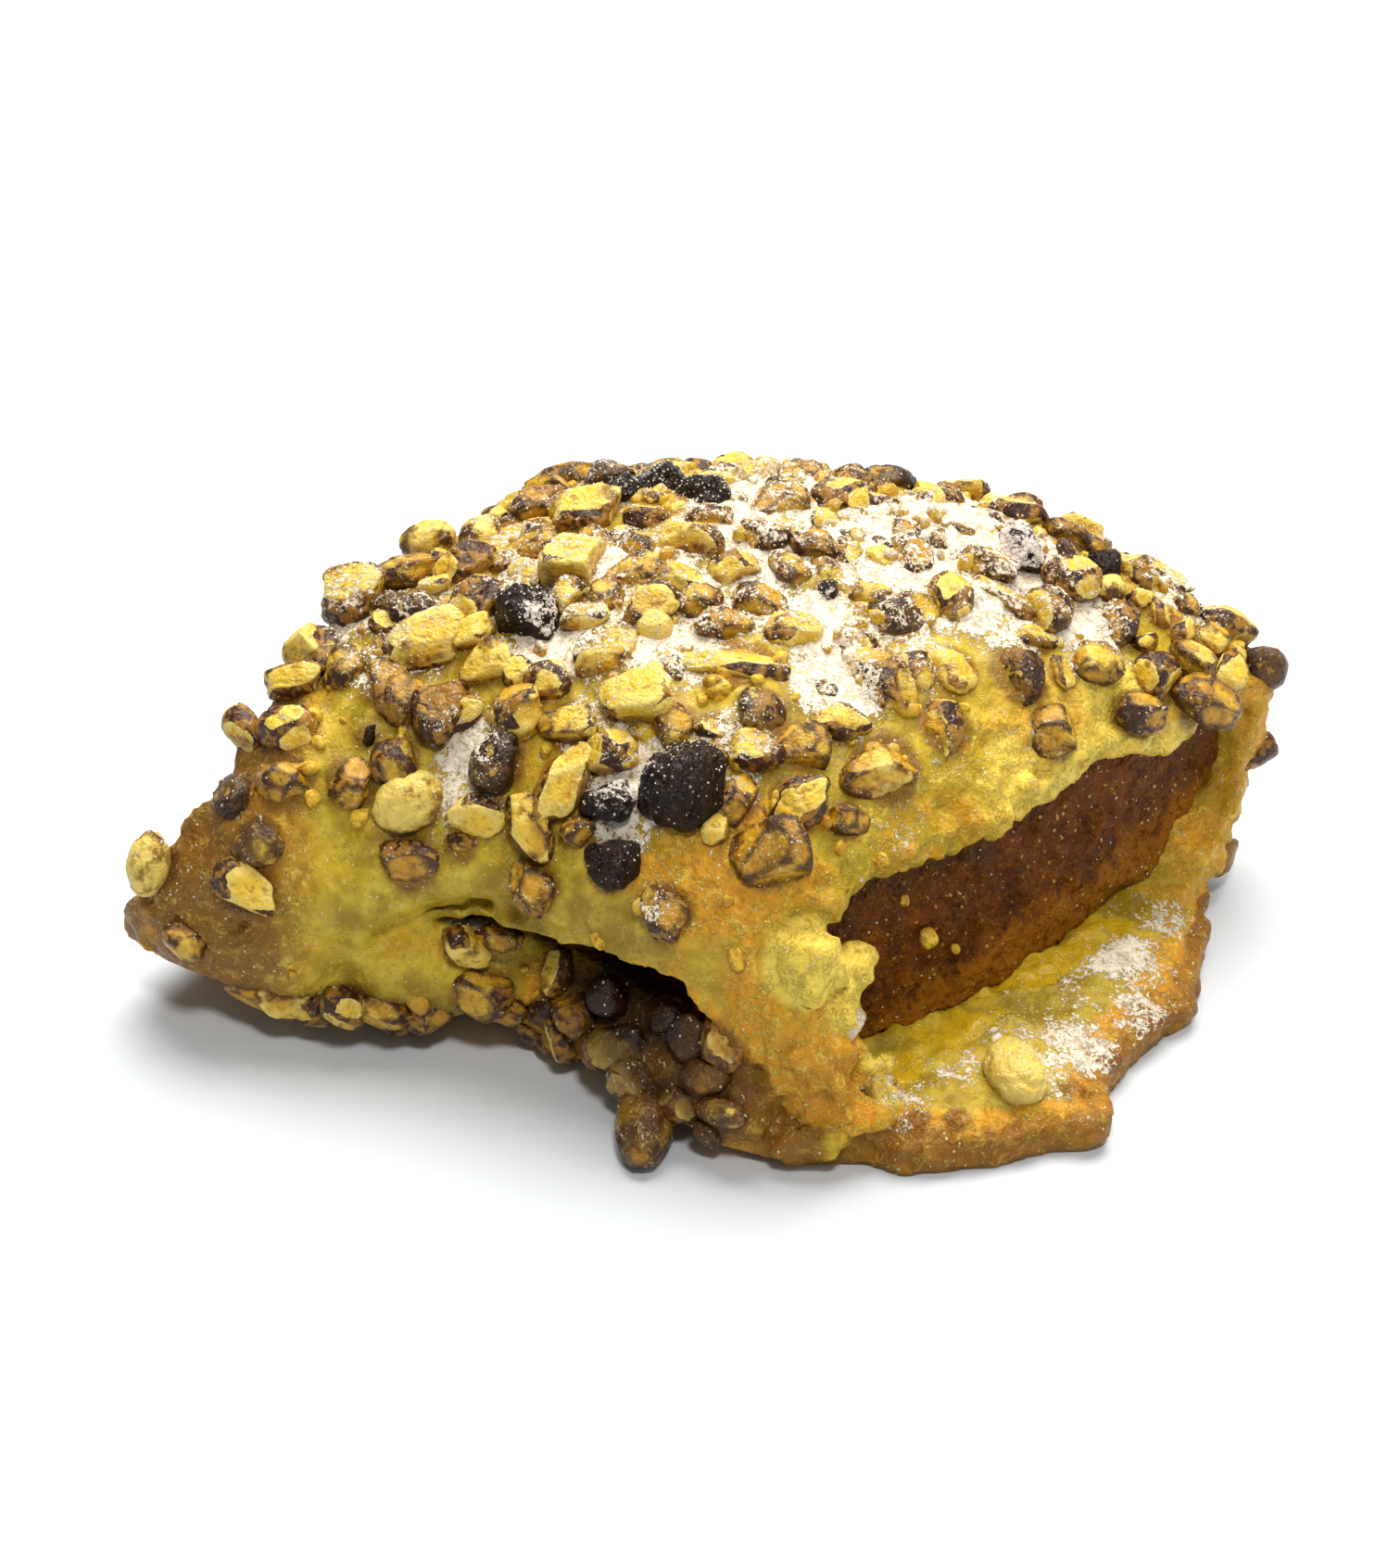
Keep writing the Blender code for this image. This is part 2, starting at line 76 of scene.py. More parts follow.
print("frame loaded", [round(1000 * v, 1) for v in (cadBox[1] - cadBox[0])])

# room, light and camera: metres for the room and its lamps, mm and degrees for the camera, pixels for the
# picture
studio = {
    "floorSize": 3.0, "floorDrop": 0.00005, "floorTone": (0.70, 0.745, 0.81),
    "floorRough": 0.9, "floorShine": 0.2, "worldTone": 0.15, "lampTone": (1.0, 0.965, 0.90),
    # power, size and place of each lamp, and what they all aim at
    "lamps": {"key": (8.9, 0.70, (0.03, 0.30, 0.60)), "fill": (3.4, 0.14, (0.07, -0.46, 0.80)),
              "side": (0.5, 0.4, (0.55, -0.16, 0.24))},
    "aim": (0, 0, 0.014),
    "elevation": 35.0, "distance": 400.0, "lookAt": (0, 0, 12.0), "focal": 5760.0, "sensor": 36,
    "imageWidth": 1497, "imageHeight": 1692, "landsAt": (765.0, 862.0),
}


def areaLight(name, place, size, power, aim):
    lamp = bpy.data.lights.new(name, "AREA")
    lamp.shape = "DISK"
    lamp.size = size
    lamp.energy = power
    lamp.color = studio["lampTone"]
    made = bpy.data.objects.new(name, lamp)
    made.location = place
    made.rotation_euler = (Vector(aim) - Vector(place)).to_track_quat("-Z", "Y").to_euler()
    bpy.context.scene.collection.objects.link(made)


def setStudio():
    world = bpy.data.worlds.new("paleRoom")
    world.use_nodes = True
    sky = world.node_tree.nodes["Background"]
    sky.inputs["Color"].default_value = (1, 1, 1, 1)
    sky.inputs["Strength"].default_value = studio["worldTone"]
    bpy.context.scene.world = world
    bpy.context.scene.view_settings.view_transform = "Standard"
    half = studio["floorSize"] / 2
    corners = [(-half, -half, 0), (half, -half, 0), (half, half, 0), (-half, half, 0)]
    mesh = bpy.data.meshes.new("floor")
    mesh.from_pydata(corners, [], [(0, 1, 2, 3)])
    floor = bpy.data.objects.new("floor", mesh)
    floor.location.z = -studio["floorDrop"]
    bpy.context.scene.collection.objects.link(floor)
    paper = bpy.data.materials.new("palePaper")
    paper.use_nodes = True
    shader = paper.node_tree.nodes["Principled BSDF"]
    shader.inputs["Base Color"].default_value = (*studio["floorTone"], 1)
    shader.inputs["Roughness"].default_value = studio["floorRough"]
    shader.inputs["Specular IOR Level"].default_value = studio["floorShine"]
    mesh.materials.append(paper)
    for name, (power, size, spot) in studio["lamps"].items():
        areaLight(name + "Light", spot, size, power, studio["aim"])
    # the aim is moved sideways and up so that the cookie lands where it stands in the picture
    e = np.radians(studio["elevation"])
    back, up = np.array([0, -np.cos(e), np.sin(e)]), np.array([0, np.sin(e), np.cos(e)])
    scale = studio["focal"] / studio["distance"]
    right = (studio["imageWidth"] / 2 - studio["landsAt"][0]) / scale
    rise = (studio["landsAt"][1] - studio["imageHeight"] / 2) / scale
    target = np.array(studio["lookAt"]) + toFrame + np.array([1, 0, 0]) * right + up * rise
    lens = bpy.data.cameras.new("camera")
    lens.lens = studio["focal"] / studio["imageHeight"] * studio["sensor"]
    lens.sensor_width = studio["sensor"]
    lens.clip_start, lens.clip_end = 0.01, 20
    camera = bpy.data.objects.new("camera", lens)
    camera.location = Vector((target + back * studio["distance"]) * 0.001)
    camera.rotation_euler = Vector(-back).to_track_quat("-Z", "Y").to_euler()
    bpy.context.scene.collection.objects.link(camera)
    bpy.context.scene.camera = camera


setStudio()
print("studio set")

# the sheet's form, by the same rules as the solid's: thickness of the sheet, place and direction of the
# opening, size of the curl at the seam
dough = {
    "thickness": 4.0, "rim": 2.6,
    "openX": 24.0, "openY": -9.5, "acrossX": 0.68, "acrossY": 0.733,
    "shear": -0.39, "baseRight": 17.0, "curlRadius": 2.0, "tipLift": 3.0, "rough": 0.35,
}
filling = {"seamInset": 3.5, "nearInset": 2.2, "farInset": 3.0}
toppings = {
    "seed": 11, "kindSeed": 5, "corners": 12, "standOut": 0.30, "heightOfWidth": 0.46, "rootOfEdgePiece": 0.8,
    # the seeded ones past the view: share on the flap, ranges of length and of width in lengths, kinds
    "mostSeeded": 70, "mostTries": 6000, "spacing": 4.3, "onFlap": 0.86, "lengths": (3.6, 5.4),
    "widths": (0.62, 0.86), "shares": {"pale": 0.52, "brown": 0.32, "dark": 0.12, "chocolate": 0.04},
}
# the pieces that show, as on the solid: place round the sheet, depth, length, width (mm), turn (degrees);
# the rows were worked out by a separate script from places read off the picture, and rounded
seenPieces = {
    "wrap pale": [
        (429, -1, 5, 4, 110), (441, 1, 4, 3, 140), (419, 2, 3.5, 3.5, 140), (449, 3, 4, 4, 140),
        (440, 5, 3.5, 3.5, 140), (463, 6.5, 6.5, 3.5, 160), (402, 9, 4, 3, 130), (469, 10.5, 4, 3, 130),
        (485, 11, 4, 2.5, 20), (515, 11, 4, 3, 60), (452, 11, 7, 4, 90), (452, 17, 4, 3.5, 130),
        (462, 17.5, 7.5, 3, 130), (477, 20.5, 5, 4, 130), (519, 20.5, 4, 3, 60), (456, 20.5, 4, 3, 120),
        (498, 21, 6, 3, 0), (508, 22, 5, 3, 40), (449, 24.5, 4, 3, 0), (471, 25, 4.5, 3.5, 140),
        (508, 26.5, 4, 3, 90), (487, 27.5, 4.5, 4, 70), (452, 29, 4, 3, 120), (447, 29, 5, 3.5, 120),
        (449, 31, 3.5, 3, 40), (479, 32, 4, 3, 130), (505, 32, 5, 4, 140), (502, 36, 4, 3, 20),
        (475, 37, 5.5, 4, 140), (515, 40, 4, 3, 130), (523, 40, 5, 3, 80), (504, 40, 4.5, 3.5, 130),
        (412, 40.5, 3, 2.5, 130), (540, 43.5, 3.5, 2.5, 70), (458, 44.5, 5.5, 3, 140),
        (479, 45.5, 4, 3.5, 130), (413, 46.5, 6, 3, 130), (524, 47, 4.5, 3, 10), (447, 47, 4, 3, 140)
    ],
    "wrap brown": [
        (351, -1, 4, 4, 80), (385, 3.5, 4.5, 4, 130), (452, 6.5, 5, 3, 50), (479, 8, 4.5, 3.5, 170),
        (391, 8, 4.5, 3, 130), (461, 10, 4, 3, 120), (427, 10, 4.5, 3.5, 140), (475, 12, 4, 3, 120),
        (436, 14, 5, 3, 120), (407, 17.5, 5.5, 3, 130), (430, 25, 4.5, 3.5, 150), (445, 25.5, 4, 3, 120),
        (480, 27, 3.5, 3, 130), (516, 30.5, 4.5, 3, 110), (498, 34, 3.5, 3.5, 120),
        (466, 36.5, 4.5, 3.5, 170), (443, 38, 5.5, 4, 130), (495, 42, 4.5, 3.5, 120),
        (496, 45.5, 4, 2.5, 70), (467, 46, 5, 4.5, 120)
    ],
    "wrap chocolate": [
        (317, -1.5, 3.5, 2, 160), (382, -1, 3.5, 3.5, 130), (448, 6.5, 5, 3.5, 50),
        (412, 10, 2.5, 3, 140), (468, 13.5, 3.5, 3.5, 130), (489, 14, 6, 6.5, 130),
        (510, 15.5, 4, 3.5, 110), (499, 17.5, 4, 3, 140), (449, 18.5, 2, 2.5, 130),
        (497, 27, 4.5, 3.5, 10), (468, 32, 4.5, 4.5, 130), (409, 35, 4, 2, 130), (431, 37, 4.5, 4, 130),
        (436, 38, 3.5, 3.5, 130), (508, 43, 3, 3, 180), (479, 44.5, 5, 2.5, 60)
    ],
    "base pale": [
        (0.93, 4, 4, 2, 100), (0.88, 11.5, 4, 3, 60), (0.91, 13.5, 4, 3, 120), (0.91, 18.5, 3.5, 3, 70),
        (0.90, 27, 4.5, 3.5, 70), (0.98, 28, 3.5, 3, 80), (0.75, 38, 4, 3, 60)
    ],
    "base brown": [
        (1.00, 4.5, 4, 3.5, 60), (0.88, 8, 4, 2.5, 100), (0.85, 11.5, 5, 3.5, 40), (0.69, 31.5, 4, 3, 50)
    ],
    "base chocolate": [
        (0.92, 6, 3.5, 2.5, 120), (0.94, 8.5, 3.5, 3.5, 120), (0.96, 16.5, 3, 3, 120)
    ],
    "lip pale": [
        (0.74, -8, 6, 4, 60)
    ],
    "edge brown": [
        (0.867, 10.5, 8, 4, -35)
    ],
}


def ease(x, a, b):
    t = np.clip((x - a) / (b - a), 0, 1)
    return t * t * (3 - 2 * t)


slopes = {}


def key(x, xs, ys):
    # smooth curve through stations
    mark = (*xs, *ys)
    if mark not in slopes:
        xs, ys = np.asarray(xs, float), np.asarray(ys, float)
        slopes[mark] = (xs, ys, np.gradient(ys, xs))
    xs, ys, slope = slopes[mark]
    x = np.clip(x, xs[0], xs[-1])
    i = np.clip(np.searchsorted(xs, x) - 1, 0, len(xs) - 2)
    h = xs[i + 1] - xs[i]
    t = (x - xs[i]) / h
    return ((2*t**3 - 3*t*t + 1) * ys[i] + (t**3 - 2*t*t + t) * h * slope[i]
            + (3*t*t - 2*t**3) * ys[i + 1] + (t**3 - t*t) * h * slope[i + 1])


def waves(a, b, size):
    # low unevenness of hand-rolled dough
    return size * (np.sin(a*1.0 + b*0.7 + 0.4) + 0.7*np.sin(a*2.3 - b*1.1 + 2.1)
                   + 0.5*np.sin(a*0.6 + b*2.9 + 4.0) + 0.4*np.sin(a*4.1 + b*3.7 + 1.3))


def place(p, d, z):
    # p across the opening (seam negative), d inwards, z up
    n = np.hypot(dough["acrossX"], dough["acrossY"])
    ax, ay = dough["acrossX"] / n, dough["acrossY"] / n
    p = p + dough["shear"] * np.clip(d, -4, 100)
    x = dough["openX"] + p * ax - d * ay
    y = dough["openY"] + p * ay + d * ax
    return np.stack([x, y, z + dough["tipLift"] * ease(-x, 20, 45)], -1)


def tube(phi, d):
    # section of the folded sheet: 270 below, 360 fold, 450 top, 540 seam side
    mid0 = dough["thickness"] / 2
    c, s = np.cos(np.radians(phi)), np.sin(np.radians(phi))
    left, up = c < 0, s > 0
    top = key(d, [-15, 0, 8, 20, 32, 42, 50, 56], [15, 20.3, 26.2, 30.2, 30.8, 28.6, 25.5, 19]) - mid0
    nLeft = key(d, [0, 15, 30, 50], [3.0, 2.8, 2.0, 1.5])
    nRight = key(d, [0, 12, 30, 50], [4.8, 4.4, 3.6, 2.8])
    nLow = key(d, [0, 8, 20], [5, 4, 3.2])
    n = np.where(up, np.where(left, nLeft, nRight), np.where(left, nLow, 2.6))
    mid = np.where(left, key(d, [0, 25, 50], [8.5, 8.0, 6.0]), 13.0)
    z = np.where(up, mid + (top - mid) * np.abs(s)**(2/n), mid - (mid - mid0) * np.abs(s)**(2/n))
    rightHalf = key(d, [0, 10, 30, 50, 56], [25, 27, 27, 25, 22])
    leftHalf = key(d, [-5, 0, 7, 18, 25, 31, 36, 45, 52, 56],
                   [24.5, 24.5, 24.5, 23.5, 22.5, 23.5, 25.5, 26.5, 24, 21])
    return np.where(left, leftHalf, rightHalf) * np.sign(c) * np.abs(c)**(2/n), z


def wrapAt(phi, d):
    p, z = tube(phi, d)
    return place(p, d, z)


def wrapNear(phi):
    return key(phi, [285, 300, 320, 345, 395, 430, 470, 500, 512, 525, 540, 560, 600],
               [-5, -3, -1.5, -1, -1.5, -1, 1.4, 2.8, 1.8, -0.5, -2.5, -3, -3])


def wrapFar(phi):
    return key(phi, [285, 360, 400, 450, 490, 515, 530, 545, 600],
               [52, 52, 49.5, 47, 45.5, 46, 47.5, 48.5, 46])


def wrapEnd(v):
    # where the flap's edge lies: pressed on the lip, hanging over the seam, then closed to the tip
    return key(v, [0, 0.09, 0.115, 0.14, 0.19, 0.29, 0.41, 0.55, 0.66, 0.76, 0.85, 1],
               [592, 588, 568, 547, 534, 531, 530.5, 529, 534, 556, 566, 568])


def baseAt(u, d):
    # flat layer below; at the seam its edge curls up under the flap
    r, right, mid0 = dough["curlRadius"], dough["baseRight"], dough["thickness"] / 2
    half = key(d, [-15, -8, 0, 5, 12, 18, 25, 31], [24, 25.5, 27.2, 26.2, 23.6, 21, 18.5, 18.5])
    curl = np.radians(key(d, [-12, -4, 0, 4, 15, 24, 33], [5, 10, 40, 116, 124, 112, 95]))
    lean = key(d, [-8, 0, 4, 15, 24, 36], [0, 0, 3, 3.8, 4, 4])
    t = u * (right + half - r + r * curl + lean) - right
    turn = np.clip((t - (half - r)) / r, 0, curl)
    rest = np.clip(t - (half - r) - r * curl, 0, 99)
    p = -np.minimum(t, half - r) - r * np.sin(turn) - rest * np.cos(curl)
    z = mid0 + r * (1 - np.cos(turn)) + rest * np.sin(curl)
    pTube, zTube = tube(296 - 126 * u, d)
    w = ease(d, 21, 33)
    return place(p * (1-w) + pTube * w, d, z * (1-w) + zTube * w)


def baseNear(u):
    # the lip that sticks out in front of the filling
    return key(u, [0, 0.07, 0.14, 0.27, 0.36, 0.44, 0.52, 0.64, 0.73, 0.79, 0.87, 0.94, 1],
               [-3, -4.6, -6.4, -9.5, -10.4, -10.6, -10.9, -12.8, -14.6, -13.1, -11.3, -9.2, -6.8])


def baseFar(u):
    return key(u, [0, 0.6, 0.8, 1], [52, 51, 50, 48])


def gridNormals(points):
    n = np.cross(np.gradient(points, axis=0), np.gradient(points, axis=1))
    return n / (np.linalg.norm(n, axis=-1, keepdims=True) + 1e-9)


def meshObject(name, verts, faces):
    mesh = bpy.data.meshes.new(name)
    mesh.from_pydata([tuple(v) for v in verts], [], faces)
    mesh.update()
    made = bpy.data.objects.new(name, mesh)
    helpers.objects.link(made)
    return made


def fixNormals(item):
    bm = bmesh.new()
    bm.from_mesh(item.data)
    bmesh.ops.recalc_face_normals(bm, faces=bm.faces)
    bm.to_mesh(item.data)
    bm.free()


def shell(name, middle, thick, full):
    # open sheet through the dough's middle, thickened by Solidify, thinner at its rim
    nu, nv = middle.shape[:2]
    faces = [(i*nv + j, (i+1)*nv + j, (i+1)*nv + j + 1, i*nv + j + 1)
             for i in range(nu - 1) for j in range(nv - 1)]
    made = meshObject(name, middle.reshape(-1, 3), faces)
    share = made.vertex_groups.new(name="thickness")
    for i, t in enumerate(thick.reshape(-1)):
        share.add([i], float(t) / full, "REPLACE")
    mod = made.modifiers.new("thick", "SOLIDIFY")
    mod.thickness, mod.offset, mod.vertex_group = full, 0, share.name
    apply(made)
    fixNormals(made)
    return made


def wrapSheet(nu, nv):
    u = np.linspace(0, 1, nu)[:, None] * np.ones((1, nv))
    v = (np.linspace(0, 1, nv)**1.5)[None, :] * np.ones((nu, 1))
    phi = 285 + (wrapEnd(v) - 285) * u
    near, far = wrapNear(phi), wrapFar(phi)
    near = near + waves(phi * 0.11, 0, 0.22)
    far = far + waves(phi * 0.13, 3, 0.3)
    d = near + (far - near) * v
    rim = np.minimum(np.minimum(d - near, far - d), (1 - u) * 0.35 * (wrapEnd(v) - 285))
    return wrapAt(phi, d), phi, d, rim


def baseSheet(nu, nv):
    u = np.linspace(0, 1, nu)[:, None] * np.ones((1, nv))
    v = (np.linspace(0, 1, nv)**1.2)[None, :] * np.ones((nu, 1))
    near, far = baseNear(u), baseFar(u)
    near = near + waves(u * 14, 1, 0.28)
    far = far + waves(u * 12, 5, 0.3)
    d = near + (far - near) * v
    rim = np.minimum(np.minimum(d - near, far - d), (1 - u) * 40)
    return baseAt(u, d), u, d, rim


def sheetThickness(rim, extra):
    return (dough["rim"] + (dough["thickness"] - dough["rim"]) * ease(rim, 0, 5)) + 2 * extra


def keptMesh(item, fields):
    # the evaluated mesh, with or without its fields
    graph = bpy.context.evaluated_depsgraph_get()
    result = item.evaluated_get(graph)
    return bpy.data.meshes.new_from_object(result, preserve_all_data_layers=fields, depsgraph=graph)


def apply(item):
    mesh = keptMesh(item, False)
    item.modifiers.clear()
    old = item.data
    item.data = mesh
    bpy.data.meshes.remove(old)


def join(name, items):
    verts, faces, start = [], [], 0
    for item in items:
        verts += [tuple(v.co) for v in item.data.vertices]
        faces += [tuple(start + i for i in p.vertices) for p in item.data.polygons]
        start += len(item.data.vertices)
        bpy.data.objects.remove(item, do_unlink=True)
    return meshObject(name, verts, faces)


def largestPart(item):
    bm = bmesh.new()
    bm.from_mesh(item.data)
    left, parts = set(bm.verts), []
    while left:
        stack, part = [left.pop()], []
        while stack:
            v = stack.pop()
            part.append(v)
            for e in v.link_edges:
                o = e.other_vert(v)
                if o in left:
                    left.remove(o)
                    stack.append(o)
        parts.append(part)
    parts.sort(key=len, reverse=True)
    for part in parts[1:]:
        bmesh.ops.delete(bm, geom=part, context="VERTS")
    bm.to_mesh(item.data)
    bm.free()


def remesh(item, voxel):
    mod = item.modifiers.new("fuse", "REMESH")
    mod.mode = "VOXEL"
    mod.voxel_size = voxel
    apply(item)


def phiArc(phi):
    return phi * 0.055


def blur(p, size, seed):
    # smooth noise from -1 to 1 with bumps of about that size in mm
    q = p / size + seed * 17.31
    i = np.floor(q).astype(np.int64)
    f = q - i
    f = f * f * (3 - 2 * f)
    total = np.zeros(len(p))
    for dx, dy, dz in np.ndindex(2, 2, 2):
        h = ((i[:, 0] + dx) * 73856093) ^ ((i[:, 1] + dy) * 19349663) ^ ((i[:, 2] + dz) * 83492791)
        h = ((h ^ (h >> 13)) * 1274126177) & 0x7fffffff
        h = ((h ^ (h >> 15)) & 0xffff) / 32767.5 - 1
        wx, wy, wz = (f[:, k] if step else 1 - f[:, k] for k, step in enumerate((dx, dy, dz)))
        total += h * wx * wy * wz
    return total


def layered(p, size, seed, layers=3):
    total, weight = 0, 0
    for k in range(layers):
        total = total + blur(p, size / 2**k, seed + k) / 1.7**k
        weight += 1 / 1.7**k
    return total / weight * 1.5


def roundGrid(level):
    bm = bmesh.new()
    bmesh.ops.create_icosphere(bm, subdivisions=level, radius=1)
    p = np.array([v.co for v in bm.verts])
    faces = [tuple(v.index for v in f.verts) for f in bm.faces]
    bm.free()
    return p, faces


def sheetLayers(nu, nv):
    # both layers: middle points, outward directions, place, depth, distance from the rim
    layers = []
    for label, sheet, upwards in (("wrap", wrapSheet, 1), ("base", baseSheet, -1)):
        middle, a, d, rim = sheet(nu, nv)
        outward = gridNormals(middle)
        if outward[nu // 2 if label == "wrap" else nu // 5, nv // 2, 2] * upwards < 0:
            outward = -outward
        layers.append((label, middle, outward, a, d, rim))
    return layers


def fuseSheets(name, extra, voxel, nu=110, nv=90, lumps=()):
    # both layers as one closed body; extra is added on each side
    pieces = []
    full = dough["thickness"] + 2*extra
    for label, middle, outward, a, d, rim in sheetLayers(nu, nv):
        thick = sheetThickness(rim, extra)
        if label == "base":
            # the thinner rim still lies on the table
            drop = (full - thick) / 2 * ease(-outward[..., 2], 0.5, 0.95)
            middle = middle - np.stack([0*d, 0*d, drop], -1)
        else:
            bump = waves(phiArc(a), d * 0.16, dough["rough"]) * ease(rim, 0, 6)
            middle = middle + outward * bump[..., None]
        pieces.append(shell(label, middle, thick, full))
    for spot, reach in lumps:
        p, faces = roundGrid(3)
        p = p * (1 + 0.26 * blur(p, 0.9, int(reach * 10)) + 0.14 * blur(p, 0.4, int(reach * 10) + 3))[:, None]
        pieces.append(meshObject("lump", p * np.array([reach, reach, reach * 0.85]) + np.array(spot), faces))
    fused = join(name, pieces)
    remesh(fused, voxel)
    largestPart(fused)
    return fused


def surfaceFrame(kind, a, d):
    # point on the outside of the dough, outward direction, direction round the sheet
    at, step = (wrapAt, 0.5) if kind == "wrap" else (baseAt, 0.004)
    one = np.array
    p = at(one(a), one(d))
    around = at(one(a + step), one(d)) - at(one(a - step), one(d))
    inwards = at(one(a), one(d + 0.3)) - at(one(a), one(d - 0.3))
    n = np.cross(around, inwards)
    n /= np.linalg.norm(n)
    if kind == "wrap":
        away = p - (at(one(360.0), one(d)) * 0.5 + at(one(540.0), one(d)) * 0.5)
    elif kind in ("base", "edge"):
        # outside is below, and turned to the seam where the edge curls up
        away = p - place(one(-12.0), one(d), one(9.0))
    else:
        away = one([0, 0, 1.0])
    if np.dot(n, away) < 0:
        n = -n
    around = around - n * np.dot(around, n)
    around /= np.linalg.norm(around)
    return p + n * dough["thickness"] / 2, n, around


def bareThere(phi, d):
    # dough left bare: the strip over the opening, the pressed corner, the hollow before the tip
    return (d < 6 and 432 < phi < 500) or (d < 18 and phi > 494) or (phi > 506 and 16 < d < 46) or phi > 528


# smaller seeded pieces between the others; in the side that shows, nearly every piece has a place of its own
coating = {
    "seed": 23, "pieces": 240, "mostTries": 40000, "shortest": 2.2, "longest": 4.6, "closeness": 0.74,
    "onFlap": 0.86, "widths": (0.62, 0.9), "shares": {"pale": 0.62, "brown": 0.30, "dark": 0.08},
    # the hollow under the flap takes more skinned and dark pieces: partly their own colour, partly painted
    # shade there
    "sharesInHollow": {"pale": 0.15, "brown": 0.65, "dark": 0.20},
    "onBare": 0.012, "seenFrom": (0.0, -0.82, 0.57), "onSeen": 0.08,
    "hollow": (-4.5, -20.5, 5.0), "hollowReach": 9.0,
}
nuts = {
    "seed": 41, "shapes": 20, "browned": 8, "chips": 5, "grow": 1.10, "pressedIn": 0.20, "fineFrom": 1.95,
    "wrinkled": 0.10,
    "flesh": (0.82, 0.55, 0.040), "deepFlesh": (0.54, 0.270, 0.012), "toasted": (0.18, 0.064, 0.003),
    "ridgeHighlight": (0.86, 0.67, 0.18), "skin": (0.046, 0.013, 0.003), "paleSkin": (0.34, 0.160, 0.014),
    "darkSkin": (0.018, 0.005, 0.002),
}
chocolate = {
    # the dark pieces that are chocolate; the others are nuts in their dark skin
    "places": [(489, 14), (510, 15.5), (499, 17.5), (449, 18.5), (468, 32), (409, 35), (431, 37), (436, 38),
               (412, 10)],
    "dark": (0.007, 0.0015, 0.0005), "worn": (0.026, 0.008, 0.002), "sugar": (0.66, 0.58, 0.52),
}
# smaller ones, in the same form and made in the same way
smallSeen = {
    "wrap pale": [
        (475, 5.5, 3, 2, 130), (450, 10, 3, 3, 140), (440, 11.5, 5.5, 2, 110), (446, 12.5, 3.5, 3, 20),
        (406, 13.5, 3.5, 3, 130), (448, 13.5, 4, 3, 130), (448, 16.5, 3, 2.5, 130),
        (489, 19.5, 4, 3, 150), (450, 20.5, 4, 3, 110), (419, 21.5, 3.5, 2.5, 130),
        (444, 22.5, 3.5, 3, 130), (487, 23.5, 4.5, 2.5, 120), (462, 24, 2.5, 2.5, 130),
        (451, 26, 4, 3, 110), (465, 28.5, 3.5, 2.5, 130), (421, 30.5, 5, 3, 130), (431, 33, 4, 3, 130),
        (487, 35.5, 3.5, 3.5, 60), (435, 44.5, 5, 3, 140)
    ],
    "wrap brown": [
        (443, 8, 3.5, 2, 140), (450, 14, 3.5, 2.5, 130), (467, 21, 4, 2, 70), (513, 27, 3, 2, 110),
        (442, 30, 3.5, 3, 130), (489, 31.5, 4, 2.5, 130), (486, 44.5, 4.5, 2.5, 130)
    ],
    "wrap chocolate": [
        (494, 36.5, 1.5, 2, 120)
    ],
    "base pale": [
        (0.75, 40, 4, 2.5, 60), (0.80, 32, 4, 3, 30), (0.88, 25.5, 3.5, 2.5, 60)
    ],
    "base brown": [
        (0.85, 21, 3.5, 2.5, 60), (1.00, 26.5, 3.5, 2, 90), (0.74, 36, 4, 3, 60), (0.80, 34, 4.5, 3, 0),
        (0.82, 30, 4, 3, 80), (0.84, 23, 4, 3, 20)
    ],
}


def pick(chance, shares):
    return chance.choices(list(shares), list(shares.values()))[0]


